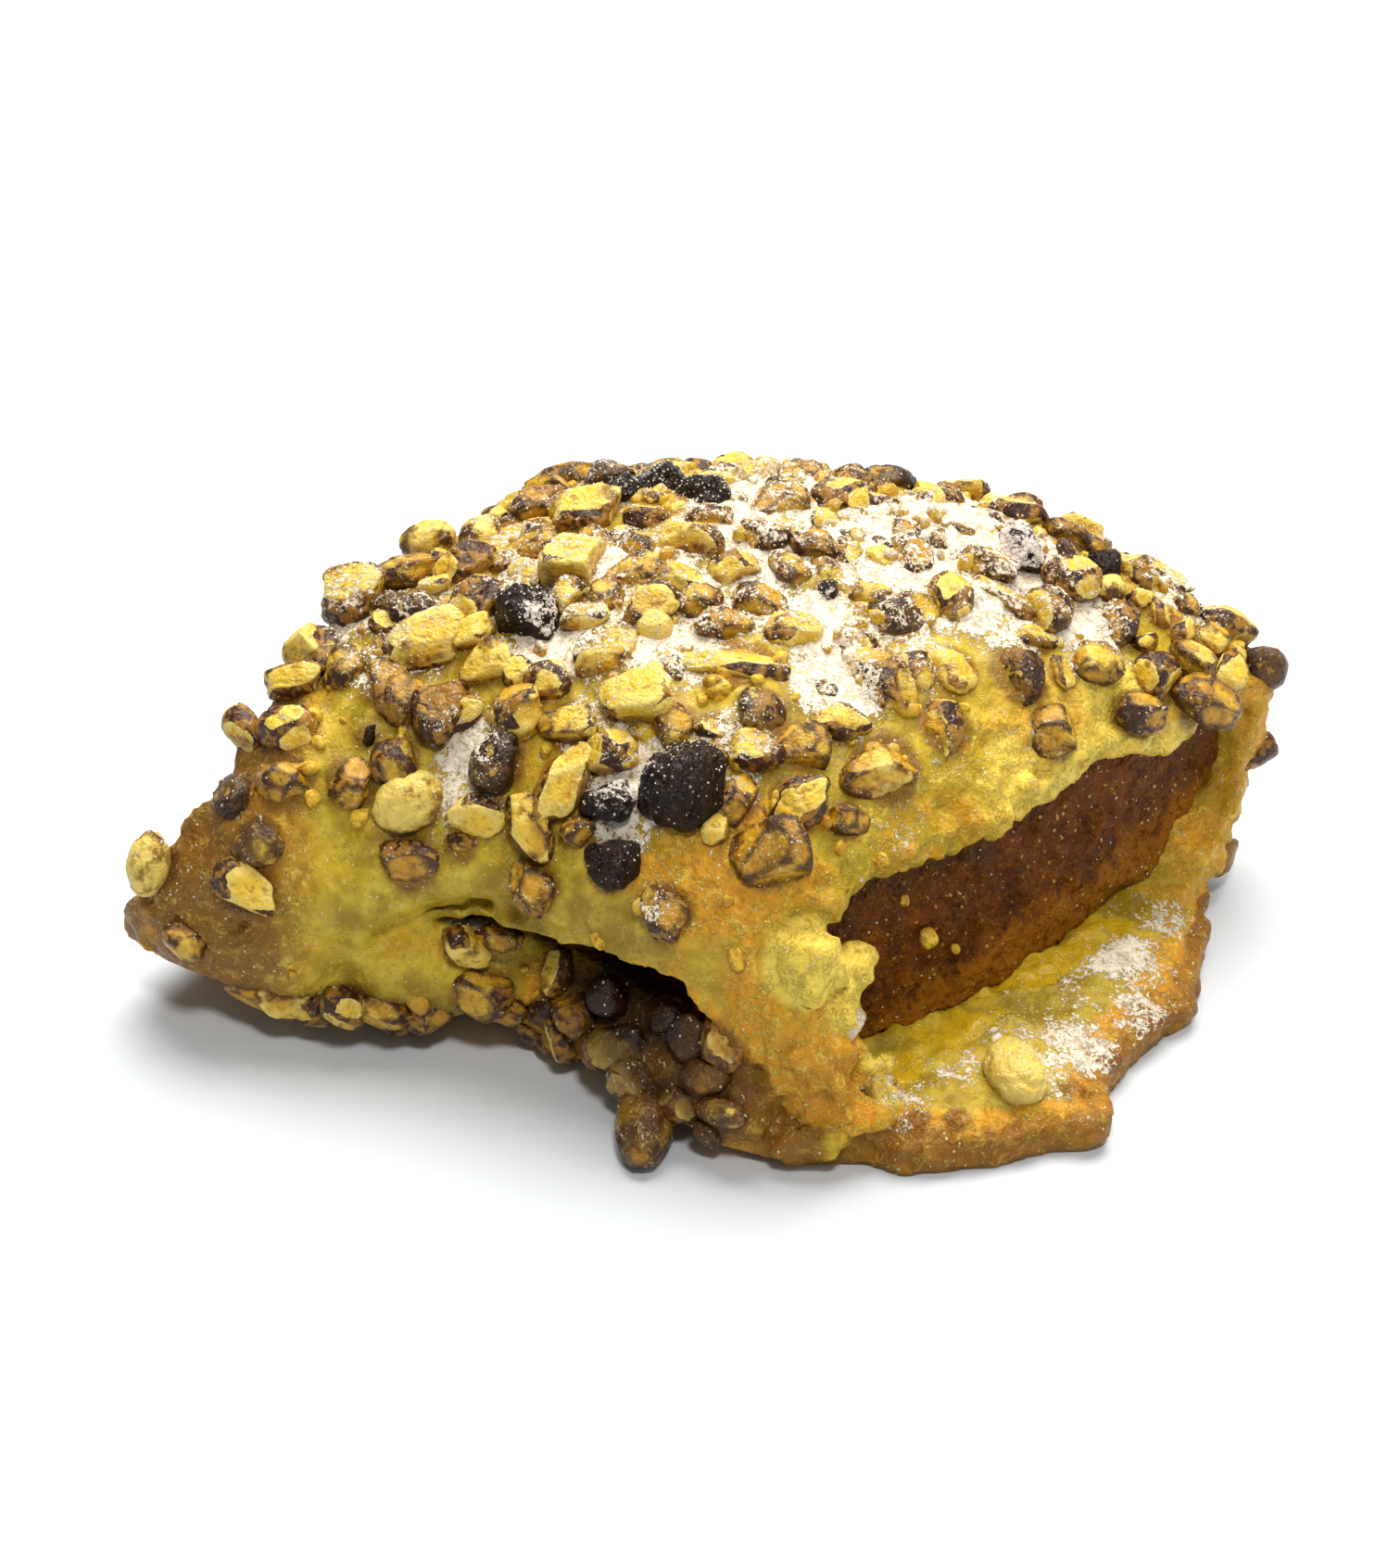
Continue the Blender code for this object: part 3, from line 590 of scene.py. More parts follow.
def toppingPlaces():
    # the same pieces in the same places as on the solid: finish, middle, directions, half sizes
    dice, kinds = random.Random(toppings["seed"]), random.Random(toppings["kindSeed"])
    rows, made = [], []
    for label, pieces in seenPieces.items():
        kind, finish = label.split()
        finish = {"edge": "golden", "lip": "cream"}.get(kind, finish)
        for piece in pieces:
            nutInSkin = finish == "chocolate" and piece[:2] not in chocolate["places"]
            rows.append((kind, "dark" if nutInSkin else finish) + piece)
    rows.sort(key=lambda r: -r[4] * r[5])
    inset = 1000 * np.array([list(v) for v in cadBox]) - toFrame

    def add(kind, finish, a, d, long, wide, turn):
        p, n, e1 = surfaceFrame(kind, a, d)
        e2 = np.cross(n, e1)
        c, s = np.cos(np.radians(turn)), np.sin(np.radians(turn))
        high = wide * toppings["heightOfWidth"]
        centre = p + n * high * toppings["standOut"]
        ax = e1 * c + e2 * s
        if kind == "edge":
            ax, n = n * c + e2 * s, e1
            centre = p + ax * (long / 2 - toppings["rootOfEdgePiece"])
        # the solid's low-sided lumps draw two numbers a corner
        for draw in range(2 * toppings["corners"]):
            dice.random()
        sides = np.array([ax * long / 2, np.cross(n, ax) * wide / 2, n * high])
        reach = nuts["grow"] * np.sqrt((sides**2).sum(0))
        centre = np.clip(centre - n * nuts["pressedIn"], inset[0] + reach, inset[1] - reach)
        made.append((finish, centre, (ax, np.cross(n, ax), n), (long / 2, wide / 2, high)))

    for row in rows:
        add(*row)
    count = tries = 0
    while count < toppings["mostSeeded"] and tries < toppings["mostTries"]:
        tries += 1
        if dice.random() < toppings["onFlap"]:
            kind, a = "wrap", dice.uniform(312, 540)
            d = dice.uniform(float(wrapNear(a)) + 2.2, float(wrapFar(a)) - 1.6)
            if bareThere(a, d):
                continue
        else:
            kind, a = "base", dice.uniform(0.66, 0.9)
            d = dice.uniform(5, 44)
        long = dice.uniform(*toppings["lengths"])
        wide = long * dice.uniform(*toppings["widths"])
        p = surfaceFrame(kind, a, d)[0]
        crowded = min(np.linalg.norm(p - m[1]) for m in made) < toppings["spacing"]
        if p[2] < 2.5 or (kind == "base" and p[0] < -7) or crowded:
            continue
        turn = dice.uniform(0, 180)
        finish = pick(kinds, toppings["shares"])
        add(kind, finish, a, d, long, wide, turn)
        count += 1
    # smaller pieces of the coating: the rest of the seen ones, then a fill of the gaps
    for label, pieces in smallSeen.items():
        for piece in pieces:
            add(*label.split(), *piece)
    c = coating
    dice, count, tries = random.Random(c["seed"]), 0, 0
    layers = sheetLayers(160, 120)
    centres = [m[1] for m in made]
    reaches = [m[3][0] for m in made]
    while count < c["pieces"] and tries < c["mostTries"]:
        tries += 1
        label, middle, outward, around, depths, rim = layers[0 if dice.random() < c["onFlap"] else 1]
        i, j = dice.randrange(middle.shape[0]), dice.randrange(middle.shape[1])
        a, d = (float(np.broadcast_to(v, rim.shape)[i, j]) for v in (around, depths))
        low, high = (303, 545) if label == "wrap" else (0.62, 0.97)
        if not low < a < high or rim[i, j] < 1.3 or (label == "base" and d < 3):
            continue
        if label == "wrap" and bareThere(a, d) and dice.random() > c["onBare"]:
            continue
        inHollow = np.linalg.norm(middle[i, j] - np.array(c["hollow"])) < c["hollowReach"]
        if outward[i, j] @ np.array(c["seenFrom"]) > 0.66 and not inHollow and dice.random() > c["onSeen"]:
            continue
        long = dice.triangular(c["shortest"], c["longest"], c["shortest"])
        wide = long * dice.uniform(*c["widths"])
        p = middle[i, j] + outward[i, j] * 2
        away = np.linalg.norm(np.array(centres) - p, axis=1)
        underWing = label == "base" and p[0] < -7 and p[1] < -5 and not inHollow
        if p[2] < 1.5 or underWing or (away < c["closeness"] * (long / 2 + np.array(reaches))).any():
            continue
        finish = pick(dice, c["sharesInHollow" if inHollow else "shares"])
        add(label, finish, a, d, long, wide, dice.uniform(0, 180))
        centres.append(made[-1][1])
        reaches.append(long / 2)
        count += 1
    print("coating", len(made), count, tries)
    return made


# fields that several pieces share: powdered sugar and the dark hollow
dusting = {
    # plan x, plan y, reach and strength of each dusted place, mm
    "places": [
        (13.4, 6.7, 7.0, 1.0), (18.5, 10.5, 7.0, 0.95), (9.0, -9.1, 4.0, 1.0), (8.6, -4.0, 5.0, 0.95),
        (22.5, 7.9, 6.5, 0.85), (27.0, 3.8, 5.2, 0.9), (20.7, 1.6, 5.0, 0.8), (-7.8, 3.0, 6.0, 0.9),
        (-12.5, 2.4, 5.5, 0.85), (-9.7, -4.8, 5.2, 0.95), (-2.3, -7.0, 5.0, 0.9), (5.0, 13.0, 9.0, 0.85),
        (-7.6, -12.0, 3.6, 0.8), (-17.2, -12.2, 3.6, 0.9), (-5.2, -16.6, 4.2, 0.85), (0.5, -1.0, 8.0, 0.72),
        (14.0, -3.0, 6.0, 0.70), (3.0, 5.0, 8.0, 0.72), (-20.5, 1.0, 4.5, 0.75), (-26.0, 3.0, 4.0, 0.7),
        (-24.0, -3.5, 3.5, 0.66), (36.0, 12.0, 5.0, 0.85), (33.0, 17.0, 6.0, 0.7), (1.5, -15.5, 4.0, 0.7),
        (-6.0, 17.0, 8.0, 0.65), (10.0, 24.0, 8.0, 0.6), (22.0, 19.0, 7.0, 0.65), (-14.0, 11.0, 6.0, 0.6),
        (27.0, -19.4, 3.6, 0.66), (30.6, -9.4, 4.2, 0.70), (17.6, -22.4, 3.6, 0.64), (34.4, -3.6, 3.0, 0.64),
        (23.6, -23.2, 3.6, 0.58), (31.6, -14.6, 3.6, 0.60), (22.4, -18.4, 3.4, 0.54),
        (27.4, -12.4, 3.4, 0.52), (-4.2, -23.7, 2.0, 0.8), (13.5, -26.5, 3.0, 0.56),
    ],
    # small heaps: middle and reach
    "spots": [((9.6, -25.4, 10.0), 1.8), ((12.6, -24.8, 4.6), 1.0)],
    "everywhere": 0.16,
}


def closeTo(p, spot, low, high, size=1.0):
    # 1 at a spot, falling to 0 between two distances: mm, or shares of an oval's half sizes
    return 1 - ease(np.linalg.norm((p - np.array(spot)) / np.array(size), axis=1), low, high)


def nearAny(p, spots, low, high):
    # the same for the nearest of several round places, in shares of each one's reach
    field = np.zeros(len(p))
    for spot, reach in spots:
        field = np.maximum(field, closeTo(p, spot, reach * low, reach * high))
    return field


def hollowShadeAt(p):
    # painted shade: how deep a point lies in the hollow between the flap and the curled edge, darkest in its
    # middle, and in the gaps
    turned = np.array([[0.68, -0.733, 0], [0.733, 0.68, 0], [0, 0, 1]])
    inner = np.linalg.norm((p - np.array([-4.3, -19.8, 8.0])) @ turned / np.array([4.6, 7.5, 4.4]), axis=1)
    outer = np.linalg.norm((p - np.array([-2.6, -21.5, 5.4])) @ turned / np.array([6.0, 10.0, 6.6]), axis=1)
    field = np.maximum(1 - ease(inner, 0.6, 1.2), 0.60 * (1 - ease(outer, 0.75, 1.1)))
    return np.maximum(field, 0.9 * nearAny(p, doughSkin["gaps"], 0.6, 1.3))


def sugarAt(p, normal):
    # sugar falls from above, in patches with ragged borders
    field = np.full(len(p), dusting["everywhere"])
    for x, y, reach, strength in dusting["places"]:
        away = np.hypot(p[:, 0] - x, p[:, 1] - y)
        field = np.maximum(field, strength * (1 - ease(away, reach * 0.30, reach * 1.40)))
    field = field + 0.20 * layered(p, 4.5, 3) + 0.12 * layered(p, 1.6, 8, 2)
    field = np.clip(field, 0, 1) * ease(normal[:, 2], -0.15, 0.55)
    field = np.maximum(field, nearAny(p, dusting["spots"], 0.6, 1.3))
    # no sugar where the hollow under the flap is painted as shade
    return field * (1 - 0.95 * hollowShadeAt(p))


def positions(item, kind="co"):
    values = np.empty(len(item.data.vertices) * 3)
    item.data.vertices.foreach_get(kind, values)
    return values.reshape(-1, 3)


def normals(item):
    return positions(item, "normal")


def setPositions(item, co):
    item.data.vertices.foreach_set("co", co.reshape(-1))
    item.data.update()


def setField(item, name, values):
    made = item.data.attributes.get(name) or item.data.attributes.new(name, "FLOAT", "POINT")
    made.data.foreach_set("value", np.asarray(values, dtype=np.float32))


def getField(item, name):
    values = np.empty(len(item.data.vertices), dtype=np.float32)
    item.data.attributes[name].data.foreach_get("value", values)
    return values


def dropFields(item, names):
    for name in names:
        if name in item.data.attributes:
            item.data.attributes.remove(item.data.attributes[name])


def toMetres(item):
    # mm in the sheet's own place to metres in the frame, kept inside the solid's box
    co = (positions(item) + toFrame) * 0.001
    low, high = np.array(cadBox[0]) + 2e-5, np.array(cadBox[1]) - 2e-5
    setPositions(item, np.clip(co, low, high))


def showPiece(item, name, look, body="root"):
    item.name = name
    item.data.name = name
    for owner in list(item.users_collection):
        owner.objects.unlink(item)
    shown.objects.link(item)
    item.data.materials.clear()
    item.data.materials.append(look)
    item.data.polygons.foreach_set("use_smooth", [True] * len(item.data.polygons))
    item.data.update()
    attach(item, body)
    print(name, len(item.data.polygons), "faces")


# small building blocks for the finishes and the geometry nodes
def plug(tree, value, socket):
    # join a socket to the value: another node's output, a colour or a number
    if isinstance(value, Wire):
        value = value.socket
    if isinstance(value, bpy.types.NodeSocket):
        tree.links.new(value, socket)
    else:
        socket.default_value = (*value, 1) if socket.type == "RGBA" else value


def addNode(tree, kind, inputs, **settings):
    made = tree.nodes.new(kind)
    for name, value in settings.items():
        setattr(made, name, value)
    for name, value in inputs.items():
        plug(tree, value, made.inputs[name])
    return made


class Wire:
    # a number or colour on its way through a finish; sums and products of wires make new nodes
    def __init__(self, finish, socket):
        self.finish, self.socket = finish, socket

    def __add__(self, other):
        return self.finish.maths("ADD", self, other)

    def __sub__(self, other):
        return self.finish.maths("SUBTRACT", self, other)

    def __mul__(self, other):
        return self.finish.maths("MULTIPLY", self, other)

    def most(self, other):
        return self.finish.maths("MAXIMUM", self, other)

    def tint(self, share, tone):
        return self.finish.tint(share, self, tone)

    def window(self, low, high, start=0.0, end=1.0):
        # goes smoothly from start to end while this goes from low to high
        ends = {"Value": self, "From Min": low, "From Max": high, "To Min": start, "To Max": end}
        return self.finish.wire("ShaderNodeMapRange", "Result", ends, interpolation_type="SMOOTHSTEP")


class Finish:
    # a material, and short ways to the fields that colour and raise it
    def __init__(self, name, **constants):
        self.look = bpy.data.materials.new(name)
        self.look.use_nodes = True
        self.tree = self.look.node_tree
        self.shader = self.tree.nodes["Principled BSDF"]
        for socket, value in constants.items():
            self.shader.inputs[socket.replace("_", " ")].default_value = value
        self.where = self.wire("ShaderNodeTexCoord", "Object", {})

    def wire(self, kind, output, inputs, **settings):
        return Wire(self, addNode(self.tree, kind, inputs, **settings).outputs[output])

    def maths(self, operation, a, b=0.0):
        return self.wire("ShaderNodeMath", "Value", {0: a, 1: b}, operation=operation)

    def tint(self, share, one, two):
        return self.wire("ShaderNodeMix", 2, {0: share, 6: one, 7: two}, data_type="RGBA")

    def field(self, name):
        return self.wire("ShaderNodeAttribute", "Fac", {}, attribute_name=name)

    def speckle(self, size, detail=3.0, distortion=0.0):
        # cloudy pattern with features of that size in mm
        given = {"Scale": 1000 / size, "Detail": detail, "Distortion": distortion, "Vector": self.where}
        return self.wire("ShaderNodeTexNoise", "Fac", given)

    def dots(self, size):
        return self.wire("ShaderNodeTexVoronoi", "Distance", {"Scale": 1000 / size, "Vector": self.where})

    def flecks(self, size, thin, least):
        # short crooked bright lines where a grainy crumb catches hard light
        line = self.maths("ABSOLUTE", self.speckle(size, 2.0, 1.0) - 0.5).window(0.0, thin, 1.0, 0.0)
        return line * self.speckle(size * 1.9, 2.0).window(least, least + 0.08)

    def powder(self, grainy=1.0):
        # sugar: solid in the middle of a patch, broken into clots and grains at its border
        broken = self.speckle(1.1, 3.0, 0.4) + self.speckle(0.34, 3.0, 0.8) * grainy
        return (self.field("sugar") + (broken - (0.5 + 0.5 * grainy))).window(0.50, 0.64)

    def done(self, base, rough, height, strength, distance):
        # the relief's distance is in mm
        given = {"Strength": strength, "Distance": distance * 0.001, "Height": height}
        normal = self.wire("ShaderNodeBump", "Normal", given)
        for name, value in (("Base Color", base), ("Roughness", rough), ("Normal", normal)):
            plug(self.tree, value, self.shader.inputs[name])
        return self.look


# dough
doughSkin = {
    "voxel": 0.47,
    # heights of the relief, mm
    "lumps": 0.24, "crumb": 0.14, "ragged": 0.50, "strip": 0.55, "stripEdge": 0.70, "crumpled": 0.46,
    "lipCrumb": 0.60, "swellAtNuts": 0.22, "sugarHeight": 0.28, "lowestSkin": 0.14,
    # browned ovals round the pressed corner: middle, half sizes, inner and outer edge, strength
    "browned": [((1.5, -22.5, 21.0), (8.0, 5.0, 5.0), 0.4, 1.4, 0.46),
                ((3.5, -26.5, 13.5), (3.6, 4.0, 7.0), 0.4, 1.3, 0.36),
                ((7.5, -29.0, 6.5), (5.0, 4.0, 5.5), 0.6, 1.4, 0.62)],
    # painted shade in gaps, and crumbs torn up where the flap's corner was pressed down: place and reach
    "gaps": [((11.1, -26.2, 4.2), 1.0), ((3.4, -26.0, 17.2), 0.7), ((8.6, -21.9, 15.8), 0.8)],
    "paleLumps": 5,
    "tornLumps": [((6.9, -25.2, 15.6), 2.7), ((9.4, -22.9, 13.2), 2.4), ((8.4, -24.6, 11.8), 2.4),
                  ((12.3, -24.3, 5.8), 1.2), ((12.8, -25.6, 4.0), 1.1), ((9.6, -24.2, 9.8), 1.5),
                  ((9.6, -23.6, 7.6), 1.7), ((10.8, -24.6, 4.6), 1.6), ((10.4, -27.0, 3.2), 1.8),
                  ((4.4, -26.6, 3.6), 1.6), ((12.2, -27.6, 3.6), 1.0), ((8.2, -29.8, 3.0), 1.3),
                  ((5.8, -30.2, 2.2), 1.1)],
    # soft folds of the bare wing: from, to, half width and height
    "folds": [((-23.2, -15.7, 10.8), (-17.1, -16.8, 13.7), 1.2, -1.2),
              ((-17.1, -16.8, 13.7), (-14.0, -18.3, 15.5), 1.0, -0.9),
              ((-25.0, -14.3, 14.5), (-16.0, -16.3, 17.5), 2.3, 0.70),
              ((-22.6, -15.8, 8.4), (-18.3, -15.8, 6.7), 2.4, 1.05),
              ((-27.2, -15.5, 9.4), (-26.0, -15.6, 6.2), 1.7, -0.85),
              ((-24.4, -13.4, 18.3), (-27.8, -15.3, 13.0), 1.5, 0.60),
              ((-19.0, -15.6, 10.0), (-14.5, -15.4, 9.0), 1.4, -0.50)],
    # baked syrup at the lip's rim: place and reach
    "syrup": [((14.6, -28.2, 3.6), 1.5), ((17.6, -27.8, 3.4), 1.2), ((29.2, -19.8, 3.0), 1.6),
              ((26.0, -24.4, 2.6), 1.8), ((33.2, -14.6, 3.2), 1.4)],
    "paleYellow": (0.61, 0.435, 0.028), "yellow": (0.30, 0.192, 0.004), "buttery": (0.78, 0.60, 0.080),
    "tornAndLit": (0.84, 0.62, 0.085), "stripShade": (0.47, 0.320, 0.010), "wetYellow": (0.60, 0.385, 0.010),
    "golden": (0.72, 0.330, 0.011), "brown": (0.262, 0.101, 0.005), "darkEdge": (0.09, 0.030, 0.006),
    "tan": (0.37, 0.215, 0.016), "tipBrown": (0.235, 0.100, 0.009), "shadeUnderNuts": (0.15, 0.060, 0.004),
    "crestHighlight": (0.90, 0.70, 0.12), "dimpleShade": (0.22, 0.118, 0.008), "paintedHollowShade": (0.040, 0.014, 0.001),
    "amber": (0.19, 0.055, 0.001), "glint": (0.88, 0.72, 0.34), "sugar": (0.85, 0.77, 0.64),
    "sugarShade": (0.60, 0.47, 0.31),
}


def doughLook():
    c = doughSkin
    f = Finish("bakedShortcrust", Specular_IOR_Level=0.30, Subsurface_Weight=0.10, Subsurface_Scale=0.0012,
               Subsurface_Radius=(1.0, 0.6, 0.2))
    cloud, mottle = f.speckle(7.0, 4.0), f.speckle(1.6, 4.0)
    crumb, fine = f.speckle(0.85, 3.0, 0.6), f.speckle(0.36, 4.0)
    strip, tornAndLit, tip, wet, syrup = (f.field(name) for name in ("pale", "tornAndLit", "tip", "wet", "syrup"))
    base = f.tint((cloud * 0.6 + f.speckle(2.6, 3.0) * 0.4).window(0.40, 0.60), c["yellow"], c["paleYellow"])
    base = base.tint(mottle.window(0.52, 0.70, 0.0, 0.35), c["buttery"])
    # painted shade: the strip over the opening toned down
    base = base.tint(strip.window(0.2, 0.9), c["stripShade"])
    # browning follows the field, broken up by the crumb
    browned = f.field("browned") + cloud.window(0.3, 0.7, -0.10, 0.10) + mottle.window(0.3, 0.7, 0.08, -0.08)
    base = base.tint(browned.window(0.06, 0.42), f.tint(tip, c["golden"], c["tan"]))
    base = base.tint(browned.window(0.42, 0.85), f.tint(tip, c["brown"], c["tipBrown"]))
    base = base.tint(browned.window(0.92, 1.25), c["darkEdge"])
    # pale torn dough, and painted light on the strip's right end
    base = base.tint(tornAndLit.window(0.3, 0.8), c["tornAndLit"])
    base = base.tint(wet.window(0.2, 0.8), c["wetYellow"])
    # a crust that browned unevenly: warm clouds over the coated top
    warm = (cloud + (mottle - 0.5) * 0.5).window(0.50, 0.68, 0.0, 0.45)
    base = base.tint(warm * (strip + browned.window(-0.02, 0.2)), c["golden"])
    # crumb: painted shade in the dimples, painted highlights on the crests, freckles; stronger on the strip and
    # where the dough is torn or browned
    grainy = (browned.window(0.05, 0.45) + (strip + tornAndLit)).window(0.0, 1.0, 0.35, 1.0)
    base = base.tint(crumb.window(0.30, 0.50, 0.42, 0.0) * grainy, c["dimpleShade"])
    base = base.tint(fine.window(0.30, 0.44, 0.30, 0.0) * grainy, c["dimpleShade"])
    faded = browned.window(0.45, 0.85, 1.0, 0.35)
    base = base.tint(crumb.window(0.54, 0.70, 0.0, 0.50) * grainy * faded, c["crestHighlight"])
    freckle = f.dots(0.9).window(0.10, 0.22, 1.0, 0.0) * f.speckle(2.0, 2.0).window(0.54, 0.64, 0.0, 0.5)
    base = base.tint(freckle, c["brown"])
    crest = f.flecks(0.62, 0.050, 0.46) * grainy * faded
    base = base.tint(crest, c["crestHighlight"])
    # painted shade round the foot of each piece
    base = base.tint(f.field("shadeAtNuts") * 0.72, c["shadeUnderNuts"])
    soaked = syrup + mottle.window(0.3, 0.7, -0.25, 0.25)
    base = base.tint(soaked.window(0.35, 1.05, 0.0, 0.80), c["amber"])
    # painted shade: the dough in the hollow under the flap and in the gaps darkened nearly to black
    base = base.tint(f.field("hollow") * 0.95, c["paintedHollowShade"])
    sugar = f.powder(1.5)
    glint = f.dots(0.75).window(0.12, 0.20, 0.8, 0.0) * f.speckle(1.4, 2.0).window(0.48, 0.60) * grainy
    base = base.tint(glint, c["glint"])
    white = sugar.most(glint)
    base = base.tint(sugar, f.tint((crumb + fine).window(0.74, 1.10), c["sugarShade"], c["sugar"]))
    rough = wet.most(syrup).window(0.2, 0.8, 0.46, 0.20) + mottle.window(0.3, 0.7, -0.10, 0.10)
    height = (fine * 0.5 + crumb * 0.9) * grainy + mottle * 0.8 + crest * 0.45 + white * 0.30
    return f.done(base, rough.most(white * 0.8), height, 0.9, 0.42)


def treeOf(points):
    tree = KDTree(len(points))
    for i, q in enumerate(points):
        tree.insert(q, i)
    tree.balance()
    return tree


def sheetLookup(p):
    # nearest place on either layer: layer, outward share, place, depth, rim distance
    layers = sheetLayers(200, 170)
    points, outward = (np.concatenate([l[k].reshape(-1, 3) for l in layers]) for k in (1, 2))
    which = np.concatenate([np.full(l[3].size, i) for i, l in enumerate(layers)])
    a, d, rim = (np.concatenate([np.broadcast_to(l[k], l[1].shape[:2]).reshape(-1) for l in layers])
                 for k in (3, 4, 5))
    tree = treeOf(points)
    near = np.array([tree.find(q)[1] for q in p])
    side = ((p - points[near]) * outward[near]).sum(1)
    return which[near], side, a[near], d[near], rim[near]


def makeDough(places):
    c = doughSkin
    item = fuseSheets("dough", 0.0, c["voxel"], 220, 180, c["tornLumps"])
    p, n = positions(item), normals(item)
    x, z = p[:, 0], p[:, 2]
    layer, side, a, d, rim = sheetLookup(p)
    wrap, outside = layer == 0, ease(side, -0.6, 0.8)
    lip = (layer == 1) & (side < 0.3)
    # browning: the tip, the pressed corner, rims and lip, the curled edge, the far right, the underside
    browned = 0.95 * ease(-x + 0.08 * z + 1.3 * layered(p, 5, 2), 28.5, 35.0)
    for spot, size, low, high, strength in c["browned"]:
        browned = np.maximum(browned, strength * closeTo(p, spot, low, high, size))
    ends = np.maximum(ease(x, -9, -2), ease(-z, -4, -2))
    rims = ends * np.where(layer == 1, 0.86, 0.30) * (1 - ease(rim + 1.2 * layered(p, 4, 6), 0.4, 4.6))
    # the curled edge under the flap: browned, and darkened as painted shade under the overhang
    under = (layer == 1) * outside * ease(x, -15, -11) * ease(-x, -9, -5) * ease(z, 1, 2.5)
    under = under * (1 - ease(z, 7.0, 9.0) * ease(-x, 3.5, 6.0))
    below = ease(-n[:, 2], 0.4, 0.9) * outside * (0.45 + 0.25 * layered(p, 9, 4)) * (z < 6)
    for part in (rims, 0.95 * under, 0.5 * ease(x, 38.5, 44) * (z > 5), below):
        browned = np.maximum(browned, part)
    strip = wrap * ease(-d, -7, -3.5) * ease(a, 425, 435) * ease(-a, -505, -495)
    browned = browned * (1 - 0.8 * strip)
    tornAndLit = nearAny(p, c["tornLumps"][:c["paleLumps"]], 0.9, 1.7)
    # painted light: the right end of the strip over the opening made paler in the torn colour
    tornAndLit = np.maximum(tornAndLit, 0.85 * strip * ease(x, 15, 24))
    browned = browned * (1 - 0.7 * tornAndLit)
    syrup = nearAny(p, c["syrup"], 0.5, 1.4)
    patchy = layered(p, 4, 9) + 0.3 * blur(p, 1.2, 27)
    wet = lip * ease(-d, -2.2, -0.2) * ease(d, -3.6, -2.2) * ease(patchy, -0.25, 0.35) * ease(x, 7.0, 9.5)
    sugar = sugarAt(p, n) * (1 - wet)
    # relief: low lumps, crumb, broken rims, the torn strip over the opening, swellings round the nuts
    move = c["lumps"] * layered(p, 4.5, 11) + c["crumb"] * blur(p, 0.9, 12)
    edge = 1 - ease(rim, 0.8, 4.5)
    move += c["ragged"] * edge * (layered(p, 2.4, 14) + 0.6 * blur(p, 1.2, 26))
    move += strip * c["strip"] * (blur(p, 2.5, 15) + 0.7 * blur(p, 1.2, 16))
    byMouth = c["stripEdge"] * wrap * (1 - ease(d, 0.5, 3.5)) * ease(a, 425, 435)
    move += byMouth * (0.6 * blur(p, 3.0, 25) + 0.8 * blur(p, 1.3, 28))
    corner = closeTo(p, (6.8, -27.5, 8.0), 0.7, 1.2, (6.0, 5.0, 9.0))
    move += c["crumpled"] * corner * (blur(p, 2.0, 17) + 0.7 * blur(p, 1.1, 19))
    for start, end, wide, high in c["folds"]:
        start, along = np.array(start), np.array(end) - np.array(start)
        share = np.clip((p - start) @ along / (along @ along), 0, 1)
        away = np.linalg.norm(p - start - share[:, None] * along, axis=1) / wide
        move += high * outside * (1 - ease(away, 0.15, 1.6))
    crumbly = lip * ease(d, -4.8, -2.0)
    move += c["lipCrumb"] * crumbly * (0.6 * blur(p, 1.7, 20) + 0.7 * blur(p, 0.95, 22))
    # distance to the nearest piece, in shares of its own size
    tree = treeOf([row[1] for row in places])
    nearest = [tree.find(q) for q in p]
    near = np.array([r[2] / (0.5 * (places[r[1]][3][0] + places[r[1]][3][1])) for r in nearest])
    move += c["swellAtNuts"] * outside * (1 - ease(near, 0.9, 1.9))
    # a browner halo round each piece: partly browning, partly painted shade between the pieces
    browned = browned + 0.26 * outside * (1 - ease(near, 0.95, 1.28))
    # painted shade: a dark ring on the dough round the foot of each piece
    shadeAtNuts = outside * (1 - ease(near + 0.12 * blur(p, 0.9, 29), 1.02, 1.34))
    move += c["sugarHeight"] * ease(sugar, 0.35, 0.8) * (0.7 + 0.6 * blur(p, 0.8, 18))
    flat = ease(z, 0.05, 1.2)
    p = p + n * (move * flat)[:, None]
    p[:, 2] = np.maximum(p[:, 2], c["lowestSkin"])
    x, z = p[:, 0], p[:, 2]
    setPositions(item, p)
    coated = outside * np.where(wrap, 1.0, 0.8) * (a > 300 * wrap)
    coated *= ease(rim, 0.8, 2.5)
    bare = ((d < 6) & (a > 432) & (a < 500)) | ((d < 12) & (a > 500))
    bare = wrap & (bare | ((a > 508) & (d > 16) & (d < 46)) | (a > 530))
    coated = np.where(bare, 0.06, coated) * np.where((layer == 1) & (z < 1.0), 0.0, 1.0)
    fields = {
        "browned": browned, "tip": ease(-x, 17, 23), "wet": wet, "sugar": sugar, "pale": strip, "tornAndLit": tornAndLit,
        "shadeAtNuts": shadeAtNuts, "syrup": syrup, "hollow": hollowShadeAt(p) * ease(0.3 - n[:, 2] * (z > 9), -0.3, 0.2),
        "coated": coated * ease(-browned, -0.8, -0.5),
    }
    for name, values in fields.items():
        setField(item, name, values)
    return item


places = toppingPlaces()
print("toppings placed", len(places))
doughPiece = makeDough(places)

